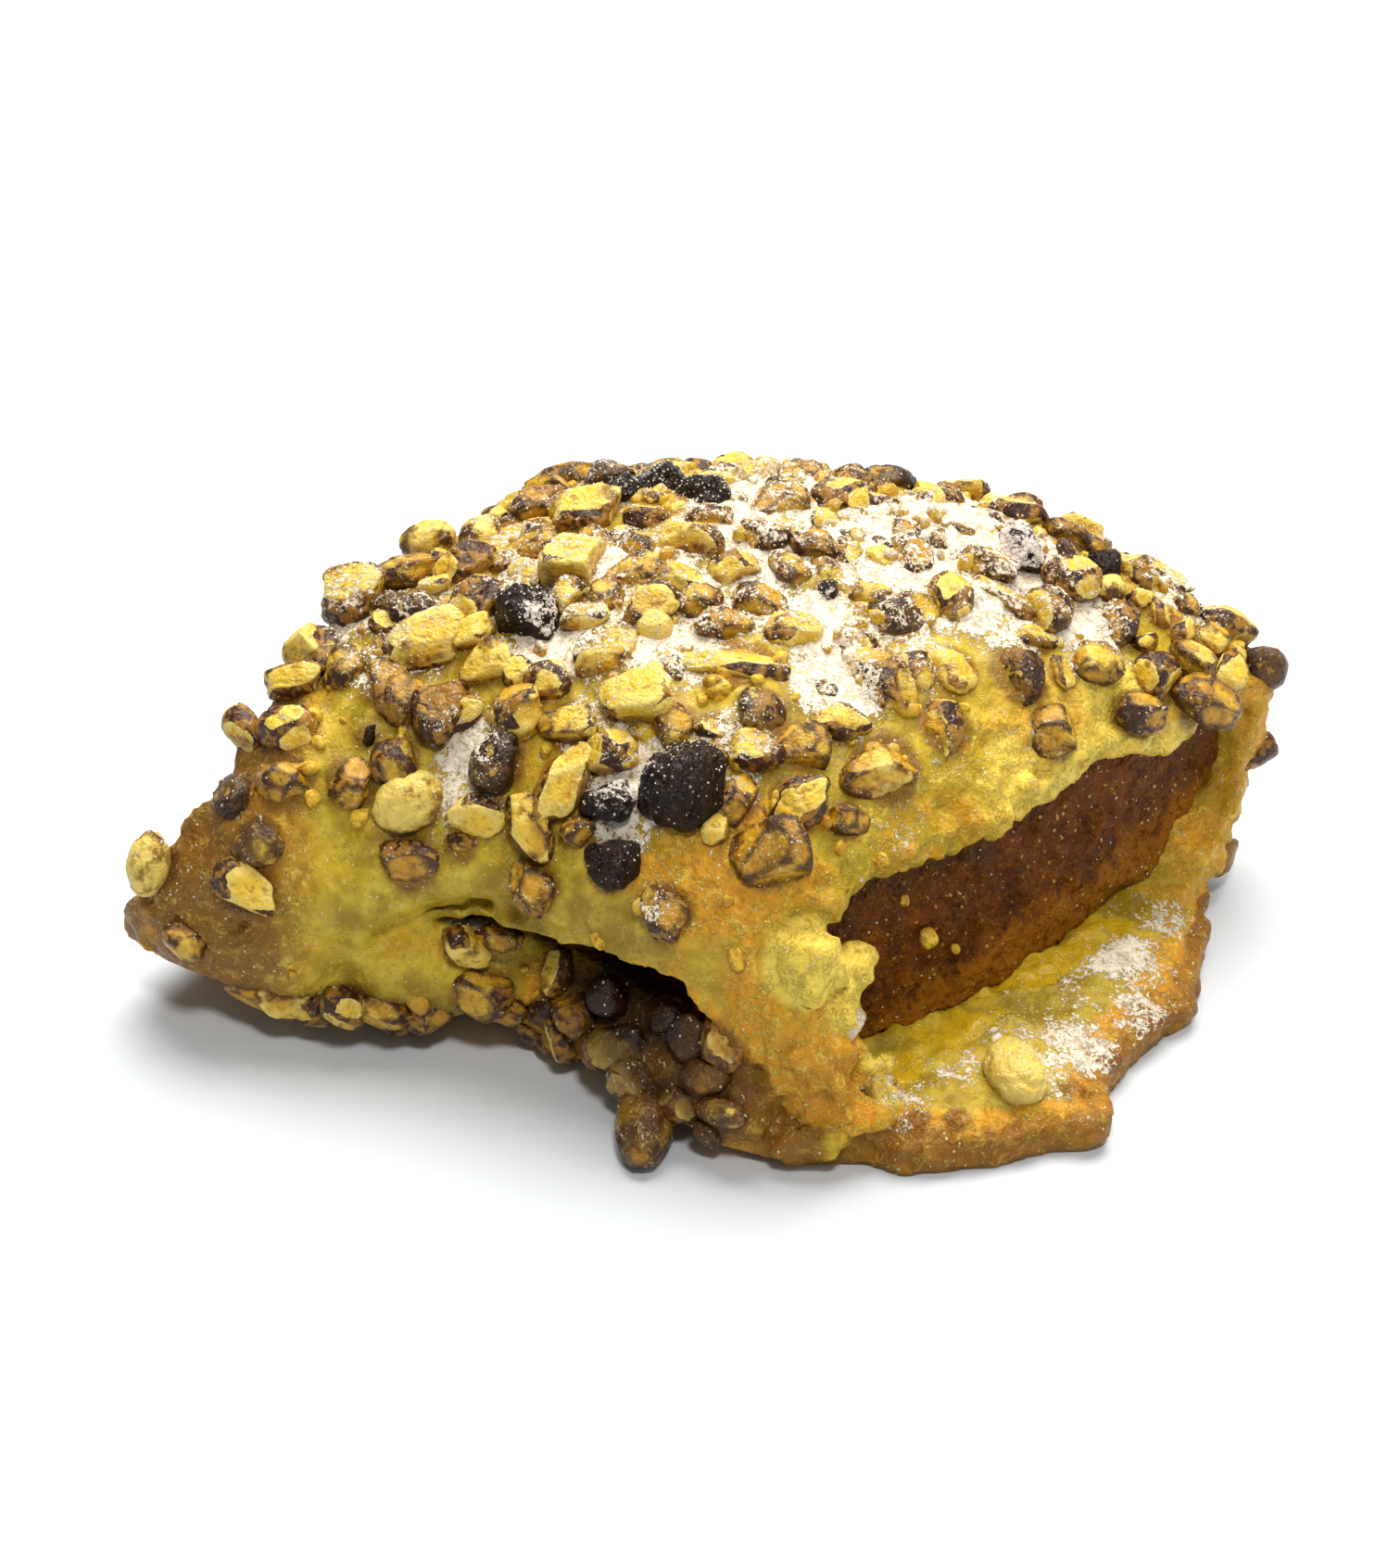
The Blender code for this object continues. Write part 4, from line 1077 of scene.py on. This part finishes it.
# filling
fillingPaste = {
    # voxels of the first and of the last fusing, and what the dough that is cut from it gains a side, mm
    "coreVoxel": 0.5, "voxel": 0.45, "roomGrowth": -0.15,
    "lumps": 0.42, "grit": 0.30,
    "dark": (0.040, 0.012, 0.001), "olive": (0.060, 0.030, 0.004), "red": (0.155, 0.039, 0.001),
    "amber": (0.31, 0.108, 0.001), "sugar": (0.60, 0.36, 0.09),
    # crumbs of dough that dropped on it: place and size
    "crumbs": [((15.9, -16.6, 11.2), 1.2), ((14.0, -16.8, 14.8), 0.7), ((18.0, -14.4, 8.7), 0.6),
               ((10.7, -22.9, 12.4), 0.5)],
}


def fillingCore():
    # loops along the depth: over the wrap from the fold to the seam, back along the base
    phis, us = np.linspace(304, 514, 54), np.linspace(0.97, 0.06, 40)
    across = np.array([dough["acrossX"], dough["acrossY"]])

    def ring(v):
        d1 = (wrapNear(phis) + filling["nearInset"]) * (1 - v) + (wrapFar(phis) - filling["farInset"]) * v
        d2 = 0.4 * (1 - v) + (baseFar(us) - filling["farInset"]) * v
        below = baseAt(us, np.maximum(d2, 5.0 * ease(us, 0.62, 0.86)))
        loop = np.concatenate([wrapAt(phis, d1), below])
        # draw the seam side in, so that a dark hollow stays under the flap
        d = np.concatenate([d1, d2])
        side = np.concatenate([ease(phis, 486, 514), ease(us, 0.6, 0.9)])
        side = side * filling["seamInset"] * ease(d, 4, 10) * (1 - ease(d, 24, 34))
        loop[:, :2] += side[:, None] * across / np.hypot(*across)
        return loop

    rings = [ring(v) for v in np.linspace(0, 1, 46)]
    into = (rings[1] - rings[0]).mean(0)
    into /= np.linalg.norm(into)
    caps = []
    for edge, sign in ((rings[0], -1), (rings[-1], 1)):
        centre = edge.mean(0)
        steps = []
        for k in (0.75, 0.5, 0.25):
            bulge = 1.4 * (1 - k*k) + 0.5 * np.sin(edge[:, 0] * 0.5 + edge[:, 2] * 0.7) * (1 - k)
            steps.append(centre + (edge - centre) * k + into * sign * bulge[:, None])
        caps.append((steps, centre + into * sign * 1.4))
    stack = caps[0][0][::-1] + rings + caps[1][0]
    verts = np.concatenate(stack + [np.array([caps[0][1], caps[1][1]])])
    m, top = len(rings[0]), len(stack) - 1
    pairs = [(j, (j + 1) % m) for j in range(m)]
    faces = [(i*m + j, i*m + k, (i+1)*m + k, (i+1)*m + j) for i in range(top) for j, k in pairs]
    first = len(stack) * m
    for j, k in pairs:
        faces += [(first, k, j), (first + 1, top*m + j, top*m + k)]
    made = meshObject("filling", verts, faces)
    fixNormals(made)
    return made


def fillingLook():
    c = fillingPaste
    f = Finish("darkOrangePaste", Specular_IOR_Level=0.14, Subsurface_Weight=0.10, Subsurface_Scale=0.0015,
               Subsurface_Radius=(1.0, 0.4, 0.1))
    cloud, mottle, grit = f.speckle(3.4, 5.0, 0.6), f.speckle(1.2, 4.0, 0.5), f.speckle(0.5, 4.0)
    upper = (f.field("upper") + mottle.window(0.3, 0.7, -0.3, 0.3)).window(0.3, 1.0, 0.0, 0.9)
    foot = f.field("foot") + cloud.window(0.3, 0.7, -0.25, 0.25) + mottle.window(0.3, 0.7, -0.15, 0.15)
    glint = f.dots(0.8).window(0.16, 0.26, 0.85, 0.0) * f.speckle(1.2, 2.0).window(0.46, 0.56)
    base = f.tint(cloud.window(0.30, 0.60, 0.25, 1.0), c["dark"], c["red"])
    # the amber flecks and the glint dots in the sugar colour are painted highlights
    for share, tone in (
            (upper, "olive"), (foot.window(0.2, 0.95), "amber"),
            (mottle.window(0.32, 0.50, 0.5, 0.0), "dark"), (grit.window(0.30, 0.46, 0.55, 0.0), "dark"),
            (grit.window(0.56, 0.70, 0.0, 0.35), "amber"),
            (f.flecks(0.55, 0.045, 0.46) * 0.65, "amber"), (glint, "sugar")):
        base = base.tint(share, c[tone])
    height = mottle * 0.9 + grit * 1.1 + glint * 0.5
    return f.done(base, mottle.window(0.3, 0.7, 0.26, 0.52), height, 1.0, 0.70)


def makeFilling():
    c = fillingPaste
    core = fillingCore()
    remesh(core, c["coreVoxel"])
    room = fuseSheets("room", c["roomGrowth"], c["coreVoxel"], 160, 130)
    cut = core.modifiers.new("cut", "BOOLEAN")
    cut.operation, cut.solver, cut.object = "DIFFERENCE", "MANIFOLD", room
    apply(core)
    bpy.data.objects.remove(room, do_unlink=True)
    largestPart(core)
    remesh(core, c["voxel"])
    largestPart(core)
    p, n = positions(core), normals(core)
    p = p + n * (c["lumps"] * layered(p, 2.6, 21) + c["grit"] * blur(p, 1.0, 22))[:, None]
    setPositions(core, p)
    setField(core, "upper", ease(p[:, 2] + 1.5 * layered(p, 6, 23) - 0.10 * (p[:, 0] - 15), 11, 19))
    setField(core, "foot", ease(-p[:, 2] + 0.12 * (p[:, 0] - 20) + 1.2 * layered(p, 5, 24), -10.5, -4.0))
    return core


fillingPiece = makeFilling()


# chopped nuts and chocolate chips
def softened(p, faces, passes, share):
    # draw each corner towards its neighbours
    f = np.array(faces)
    pairs = np.concatenate([f[:, [0, 1]], f[:, [1, 2]], f[:, [2, 0]]])
    count = np.bincount(pairs.reshape(-1), minlength=len(p))[:, None]
    for turn in range(passes):
        total = np.zeros_like(p)
        np.add.at(total, pairs[:, 0], p[pairs[:, 1]])
        np.add.at(total, pairs[:, 1], p[pairs[:, 0]])
        p = p * (1 - share) + total / count * share
    return p


def fillBox(p):
    # moved and stretched to reach from -1 to 1 on each axis
    return (p - (p.max(0) + p.min(0)) / 2) / ((p.max(0) - p.min(0)) / 2)


def choppedShape(name, dice, cuts, level=4):
    # a kernel chunk squared by the knife: skin is left where no cut reached
    p, faces = roundGrid(level)
    seed = dice.randint(1, 900)
    p = p * (1 + 0.24 * blur(p, 0.9, seed) * min(cuts, 1))[:, None]
    skin = np.ones(len(p))
    sides = [(1, 0, 0), (-1, 0, 0), (0, 1, 0), (0, -1, 0), (0, 0, 1), (0.3, 0.2, 1)]
    anyWay = ((0, 0, 0), 1.0, 0.74, 0.90)
    dice.shuffle(sides)
    for k in range(cuts):
        # the first cuts square it, and the later ones take corners off in any direction
        middle, spread, near, far = (sides[k], 0.48, 0.56, 0.90) if k < len(sides) else anyWay
        n = np.array([m + dice.gauss(0, spread) for m in middle])
        n /= np.linalg.norm(n)
        over = p @ n - dice.uniform(near, far) * (p @ n).max() + 0.035 * blur(p, 0.5, seed + k)
        p = p - n * (np.maximum(over, 0) * 0.95)[:, None]
        skin = np.where(over > 0.02, 0, skin)
    before = p
    p = softened(p, faces, level - 2, 0.42)
    bulge = ((before - softened(before, faces, 2 * level - 5, 1.0)) * p).sum(1) / np.linalg.norm(p, axis=1)
    fold = np.abs(layered(p, 0.95, seed + 7, 2) + 0.10 * blur(p, 0.35, seed + 9))
    crease = 1 - ease(fold, 0.02, 0.20)
    p = fillBox(p + p * (0.06 * layered(p, 0.42, seed + 5) - nuts["wrinkled"] * crease)[:, None])
    item = meshObject(name, p, faces)
    setField(item, "skin", softened(skin[:, None], faces, 1, 0.5)[:, 0] * (cuts > 0))
    sharp = ease(bulge + 0.012 * blur(p, 0.3, seed + 13), 0.008, 0.040)
    setField(item, "edge", np.maximum(sharp, 0.35 * crease))
    setField(item, "low", ease(-p[:, 2] + 0.25 * blur(p, 0.6, seed + 11), -0.75, 0.25))
    return item


def chipShape(name, dice, level=4):
    # a broken chunk of chocolate, its breaks rounded and knobbly from the oven
    p, faces = roundGrid(level)
    seed = dice.randint(1, 900)
    p = p * (1 + 0.26 * blur(p, 0.8, seed))[:, None]
    breaks = random.Random(seed)
    for k in range(4):
        n = np.array([breaks.gauss(0, 1) for axis in range(3)])
        n /= np.linalg.norm(n)
        over = p @ n - breaks.uniform(0.50, 0.72) * (p @ n).max()
        p = p - n * (np.maximum(over, 0) * 0.90)[:, None]
    p = softened(p, faces, 3, 0.45)
    p = p * (1 + 0.22 * np.abs(layered(p, 0.55, seed + 2, 2)) + 0.05 * blur(p, 0.2, seed + 3))[:, None]
    return meshObject(name, fillBox(p), faces)


def shapeSet(name, makers):
    kept = bpy.data.collections.new(name)
    bpy.context.scene.collection.children.link(kept)
    for k, maker in enumerate(makers):
        item = maker("%s%02d" % (name, k))
        helpers.objects.unlink(item)
        kept.objects.link(item)
    return kept


def dropSet(kept):
    for item in list(kept.objects):
        bpy.data.objects.remove(item, do_unlink=True)
    bpy.data.collections.remove(kept)


def newTree(name, inputs):
    tree = bpy.data.node_groups.new(name, "GeometryNodeTree")
    tree.interface.new_socket("Geometry", in_out="INPUT", socket_type="NodeSocketGeometry")
    tree.interface.new_socket("Geometry", in_out="OUTPUT", socket_type="NodeSocketGeometry")
    for label, kind in inputs:
        tree.interface.new_socket(label, in_out="INPUT", socket_type="NodeSocket" + kind)
    return tree, tree.nodes.new("NodeGroupInput"), tree.nodes.new("NodeGroupOutput")


def namedField(tree, name, kind):
    made = addNode(tree, "GeometryNodeInputNamedAttribute", {"Name": name}, data_type=kind)
    return made.outputs["Attribute"]


def placeShapes(tree, given, output, points, index, turn, size):
    # one shape of the set on each point, turned and sized, as plain faces in the finish
    shapes = {"Collection": given.outputs["Shapes"], "Separate Children": True, "Reset Children": True}
    info = addNode(tree, "GeometryNodeCollectionInfo", shapes)
    turned = addNode(tree, "FunctionNodeEulerToRotation", {"Euler": turn})
    on = addNode(tree, "GeometryNodeInstanceOnPoints", {
        "Points": points, "Instance": info.outputs["Instances"],
        "Pick Instance": True, "Instance Index": index,
        "Rotation": turned.outputs["Rotation"], "Scale": size})
    solid = addNode(tree, "GeometryNodeRealizeInstances", {"Geometry": on.outputs["Instances"]})
    finish = addNode(tree, "GeometryNodeSetMaterial", {
        "Geometry": solid.outputs["Geometry"], "Material": given.outputs["Finish"]})
    plug(tree, finish.outputs["Geometry"], output.inputs["Geometry"])


def pressedInTree():
    # one shape on each point, turned and sized by the point's own fields
    inputs = [("Shapes", "Collection"), ("Finish", "Material"), ("Grow", "Float")]
    tree, given, output = newTree("pressedInPieces", inputs)
    own = {0: namedField(tree, "size", "FLOAT_VECTOR"), "Scale": given.outputs["Grow"]}
    grow = addNode(tree, "ShaderNodeVectorMath", own, operation="SCALE")
    placeShapes(tree, given, output, given.outputs["Geometry"], namedField(tree, "shape", "INT"),
                namedField(tree, "turn", "FLOAT_VECTOR"), grow.outputs["Vector"])
    return tree


def scatterTree():
    # small shapes strewn over a surface where its field asks for them
    inputs = [("Shapes", "Collection"), ("Finish", "Material"), ("Density", "Float"), ("Smallest", "Float"),
              ("Largest", "Float"), ("Flatness", "Float"), ("Seed", "Int")]
    tree, given, output = newTree("strewnPieces", inputs)
    ask = given.outputs

    def times(a, b):
        return addNode(tree, "ShaderNodeMath", {0: a, 1: b}, operation="MULTIPLY").outputs["Value"]

    def chance(kind, low, high, offset):
        made = addNode(tree, "FunctionNodeRandomValue", {}, data_type=kind)
        live = [s for s in made.inputs if s.enabled and s.name in ("Min", "Max")]
        for socket, value in zip(live, (low, high)):
            plug(tree, value, socket)
        shift = addNode(tree, "FunctionNodeIntegerMath", {0: ask["Seed"], 1: offset}, operation="ADD")
        plug(tree, shift.outputs[0], made.inputs["Seed"])
        return [s for s in made.outputs if s.enabled][0]

    dense = times(namedField(tree, "strew", "FLOAT"), ask["Density"])
    over = {"Mesh": ask["Geometry"], "Density": dense, "Seed": ask["Seed"]}
    spread = addNode(tree, "GeometryNodeDistributePointsOnFaces", over)
    whole = chance("FLOAT", ask["Smallest"], ask["Largest"], 3)
    size = addNode(tree, "ShaderNodeCombineXYZ", {"X": whole, "Y": whole, "Z": times(whole, ask["Flatness"])})
    placeShapes(tree, given, output, spread.outputs["Points"], chance("INT", 0, 50, 1),
                chance("FLOAT_VECTOR", (0, 0, 0), (6.28, 6.28, 6.28), 2), size.outputs["Vector"])
    return tree


def growOn(item, tree, name, **values):
    # run the tree on an object and keep the result as a plain mesh
    mod = item.modifiers.new(name, "NODES")
    mod.node_group = tree
    for entry in tree.interface.items_tree:
        if entry.in_out == "INPUT" and entry.name in values:
            mod[entry.identifier] = values[entry.name]
    mesh = keptMesh(item, True)
    item.modifiers.remove(mod)
    made = bpy.data.objects.new(name, mesh)
    helpers.objects.link(made)
    return made


def nutLook():
    c = nuts
    f = Finish("toastedNut", Specular_IOR_Level=0.40, Subsurface_Weight=0.08, Subsurface_Scale=0.0010,
               Subsurface_Radius=(1.0, 0.55, 0.2))
    cloud, mottle, fine = f.speckle(2.2, 3.0), f.speckle(0.75, 4.0, 0.5), f.speckle(0.30, 4.0)
    tone, edge, hollow = (f.field(name) for name in ("tone", "edge", "hollow"))
    shade = f.maths("FRACT", tone * 3.7) + cloud.window(0.3, 0.7, -0.30, 0.30)
    # darker towards the dough, partly toasting and partly painted shade where the piece sits in it; toasted
    # along the edges of some and in the pores, with painted highlights on the ridges of others
    low = f.field("low") + mottle.window(0.3, 0.7, -0.30, 0.30)
    flesh = f.tint(shade.window(0.10, 0.90), c["flesh"], c["deepFlesh"])
    for share, colour in (
            (low.window(0.15, 0.70), "deepFlesh"), (low.window(0.50, 1.00), "toasted"),
            (mottle.window(0.32, 0.46, 0.60, 0.0), "toasted"),
            (fine.window(0.30, 0.46, 0.45, 0.0), "deepFlesh"),
            (edge * shade.window(0.25, 0.60, 0.15, 0.95), "skin"),
            (edge * shade.window(0.30, 0.45, 0.7, 0.0), "ridgeHighlight")):
        flesh = flesh.tint(share, c[colour])
    skin = f.tint((mottle + cloud.window(0.3, 0.7, -0.12, 0.12)).window(0.44, 0.60), c["skin"], c["paleSkin"])
    skin = skin.tint(tone.window(1.0, 1.4, 0.0, 0.75), c["darkSkin"])
    covered = f.field("skin") + mottle.window(0.3, 0.7, -0.12, 0.12) + tone.window(0.98, 1.02, 0.0, 0.55)
    base = flesh.tint(covered.window(0.42, 0.58), skin)
    # painted highlights: bright crooked flecks on the bare flesh
    base = base.tint(f.flecks(0.5, 0.035, 0.50) * covered.window(0.35, 0.55, 0.55, 0.10), c["ridgeHighlight"])
    # painted shade: pieces in the hollow under the flap darkened with the toasted and the dark skin colours
    base = base.tint(hollow.window(0.0, 0.5, 0.0, 0.6), c["toasted"])
    base = base.tint(hollow.window(0.25, 0.8, 0.0, 0.97), c["darkSkin"])
    # painted highlights: glint dots, raised and tinted like the sugar
    glint = f.dots(0.62).window(0.13, 0.21, 0.9, 0.0) * f.speckle(1.2, 2.0).window(0.50, 0.60)
    white = f.powder(2.0).most(glint)
    base = base.tint(white, f.tint(mottle.window(0.3, 0.6), doughSkin["sugarShade"], doughSkin["sugar"]))
    rough = mottle.window(0.3, 0.7, 0.24, 0.46).most(white * 0.8)
    return f.done(base, rough, mottle + fine * 0.5 + white * 0.3, 0.9, 0.34)


def chocolateLook():
    f = Finish("bakedChocolate", Specular_IOR_Level=0.26)
    mottle = f.speckle(0.9, 4.0)
    # painted highlights: glint dots in the sugar colour, besides the real sugar
    glint = f.dots(0.62).window(0.14, 0.24, 0.75, 0.0) * f.speckle(1.3, 2.0).window(0.48, 0.58)
    white = f.powder().most(glint)
    base = f.tint(mottle.window(0.4, 0.7), chocolate["dark"], chocolate["worn"])
    base = base.tint(white, chocolate["sugar"])
    rough = mottle.window(0.3, 0.7, 0.13, 0.34).most(white * 0.7)
    return f.done(base, rough, mottle + f.speckle(0.40, 3.0, 0.6) * 0.9 + white * 0.4, 1.0, 0.50)


def pressIn(name, rows, shapes, first, last, tree, look):
    # points with turn, size, shape and tone, then one solid piece of them all
    item = meshObject(name, [r[1] for r in rows], [])
    turns, sizes, index, tones = [], [], [], []
    dice = random.Random(len(rows))
    for finish, centre, axes, half in rows:
        turns += list(Matrix([list(v) for v in axes]).transposed().to_euler())
        sizes += list(half)
        # the larger pieces take the finer shapes, which come first in the set
        chosen = dice.randrange(first, last) if finish in ("pale", "brown", "dark", "chocolate") else 0
        index.append(chosen + (0 if half[0] > nuts["fineFrom"] or name == "chocolateChips" else nuts["shapes"]))
        tones.append({"golden": 0.225, "cream": 0.01}.get(finish, dice.random() + (finish == "dark")))
    for label, kind, entry, values in (
            ("turn", "FLOAT_VECTOR", "vector", turns), ("size", "FLOAT_VECTOR", "vector", sizes),
            ("shape", "INT", "value", index), ("tone", "FLOAT", "value", tones)):
        item.data.attributes.new(label, kind, "POINT").data.foreach_set(entry, values)
    made = growOn(item, tree, name, Shapes=shapes, Finish=look, Grow=nuts["grow"])
    bpy.data.objects.remove(item, do_unlink=True)
    dropFields(made, ("turn", "size", "shape"))
    # some pieces catch more sugar than others
    share = 0.36 + 0.42 * np.modf(getField(made, "tone") * 7.3)[0]
    setField(made, "sugar", sugarAt(positions(made), normals(made)) * share)
    setField(made, "hollow", hollowShadeAt(positions(made)))
    return made


dice = random.Random(nuts["seed"])
cutFrom = nuts["shapes"] - nuts["browned"]


def nutShape(name, k, level):
    # the first shape is whole, the next ones are cut all round and the last keep most of their skin
    cuts = 0 if k == 0 else dice.randint(8, 11) if k < cutFrom else 4
    return choppedShape(name, dice, cuts, level)


nutShapes = shapeSet("nutShape", [lambda n, k=k, level=level: nutShape(n, k, level)
                                  for level in (4, 3) for k in range(nuts["shapes"])])
chipShapes = shapeSet("chipShape", [lambda n: chipShape(n, dice)] * nuts["chips"])
pressed, strewn = pressedInTree(), scatterTree()
nutFinish, chipFinish = nutLook(), chocolateLook()
paleNuts = pressIn("paleNuts", [r for r in places if r[0] in ("pale", "golden", "cream")], nutShapes,
                   0, cutFrom, pressed, nutFinish)
brownNuts = pressIn("skinnedNuts", [r for r in places if r[0] in ("brown", "dark")], nutShapes,
                    cutFrom, nuts["shapes"], pressed, nutFinish)
chips = pressIn("chocolateChips", [r for r in places if r[0] == "chocolate"], chipShapes,
                0, nuts["chips"], pressed, chipFinish)
print("nuts and chips", [len(o.data.polygons) for o in (paleNuts, brownNuts, chips)])

# chopped dust between the nuts, and sugar grains
strewing = {
    # density in pieces per square mm where the field is 1, half sizes in mm, "least" as share of the density
    "bitShapes": 6, "bitCuts": 8, "bitSugar": 0.7,
    "bits": {"Density": 0.075, "Smallest": 0.35, "Largest": 0.95, "Flatness": 0.7, "Seed": 3},
    "least": (0.055, 0.05, 0.05, 0.20, 0.06), "grainShapes": 4,
    "grainTone": (0.90, 0.83, 0.70), "grainShade": (0.82, 0.70, 0.50),
    "grains": {"Density": 3.2, "Smallest": 0.04, "Largest": 0.13, "Flatness": 0.8, "Seed": 9},
}


def bareCopy(item):
    made = item.copy()
    made.data = item.data.copy()
    helpers.objects.link(made)
    return made


def makeBits():
    c = strewing
    shapes = shapeSet("bitShape", [lambda n: choppedShape(n, dice, c["bitCuts"], 2)] * c["bitShapes"])
    ground = bareCopy(doughPiece)
    setField(ground, "strew", getField(ground, "coated"))
    made = growOn(ground, strewn, "choppedBits", Shapes=shapes, Finish=nutFinish, **c["bits"])
    bpy.data.objects.remove(ground, do_unlink=True)
    dropSet(shapes)
    crumbs = []
    for spot, size in fillingPaste["crumbs"]:
        crumb = choppedShape("crumb", dice, c["bitCuts"], 2)
        setPositions(crumb, positions(crumb) * size * np.array([0.6, 0.5, 0.75]) + np.array(spot))
        crumbs.append(crumb)
    made = join("choppedBits", [made] + crumbs)
    p = positions(made)
    setField(made, "sugar", c["bitSugar"] * sugarAt(p, normals(made)))
    setField(made, "hollow", hollowShadeAt(p))
    setField(made, "tone", 0.5 + 0.5 * blur(p, 2.0, 31))
    return made


def sugarLook():
    f = Finish("sugarGrain", Specular_IOR_Level=0.5, Subsurface_Weight=0.2, Subsurface_Scale=0.0005)
    mottle = f.speckle(0.6, 2.0)
    base = f.tint(mottle.window(0.3, 0.7), strewing["grainTone"], strewing["grainShade"])
    return f.done(base, 0.35, mottle, 0.3, 0.05)


def grainShape(name, dice):
    # one crystal of few faces
    corners = np.array([[0, 0, 1], [0, 0, -1], [1, 0, 0], [0, 1, 0], [-1, 0, 0], [0, -1, 0]])
    p = corners * [[dice.uniform(0.7, 1.2)] for k in corners]
    p = p + [[dice.uniform(-0.2, 0.2) for axis in range(3)] for k in corners]
    ring = [2, 3, 4, 5]
    faces = [(0, ring[k], ring[k - 3]) for k in range(4)] + [(1, ring[k - 3], ring[k]) for k in range(4)]
    return meshObject(name, p, faces)


def makeGrains():
    c = strewing
    shapes = shapeSet("grainShape", [lambda n: grainShape(n, dice)] * c["grainShapes"])
    made = []
    for item, least in zip((doughPiece, paleNuts, brownNuts, chips, fillingPiece), c["least"]):
        ground = bareCopy(item)
        n = normals(ground)
        share = sugarAt(positions(ground), n) if item is not fillingPiece else np.zeros(len(n))
        # the powder is mostly film, so grains show chiefly round its border and thinly everywhere
        share = least + 0.9 * ease(share, 0.22, 0.5)
        setField(ground, "strew", share * ease(n[:, 2], -0.7, 0.1))
        spare = ("skin", "edge", "low", "tone", "browned", "wet", "pale", "tornAndLit", "syrup", "hollow")
        dropFields(ground, spare)
        made.append(growOn(ground, strewn, "grains", Shapes=shapes, Finish=sugarFinish, **c["grains"]))
        bpy.data.objects.remove(ground, do_unlink=True)
    dropSet(shapes)
    return join("sugarGrains", made)


sugarFinish = sugarLook()
bits = makeBits()
grains = makeGrains()
for kept in (nutShapes, chipShapes):
    dropSet(kept)

for item in (doughPiece, fillingPiece, paleNuts, brownNuts, chips, bits, grains):
    toMetres(item)
showPiece(doughPiece, "dough", doughLook())
showPiece(fillingPiece, "orangeFilling", fillingLook())
showPiece(paleNuts, "paleNuts", nutFinish)
showPiece(brownNuts, "skinnedNuts", nutFinish)
showPiece(chips, "chocolateChips", chipFinish)
showPiece(bits, "choppedBits", nutFinish)
showPiece(grains, "sugarGrains", sugarFinish)
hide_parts("crust")
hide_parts("filling")
for spare in (pressed, strewn):
    bpy.data.node_groups.remove(spare)
bpy.data.collections.remove(helpers)
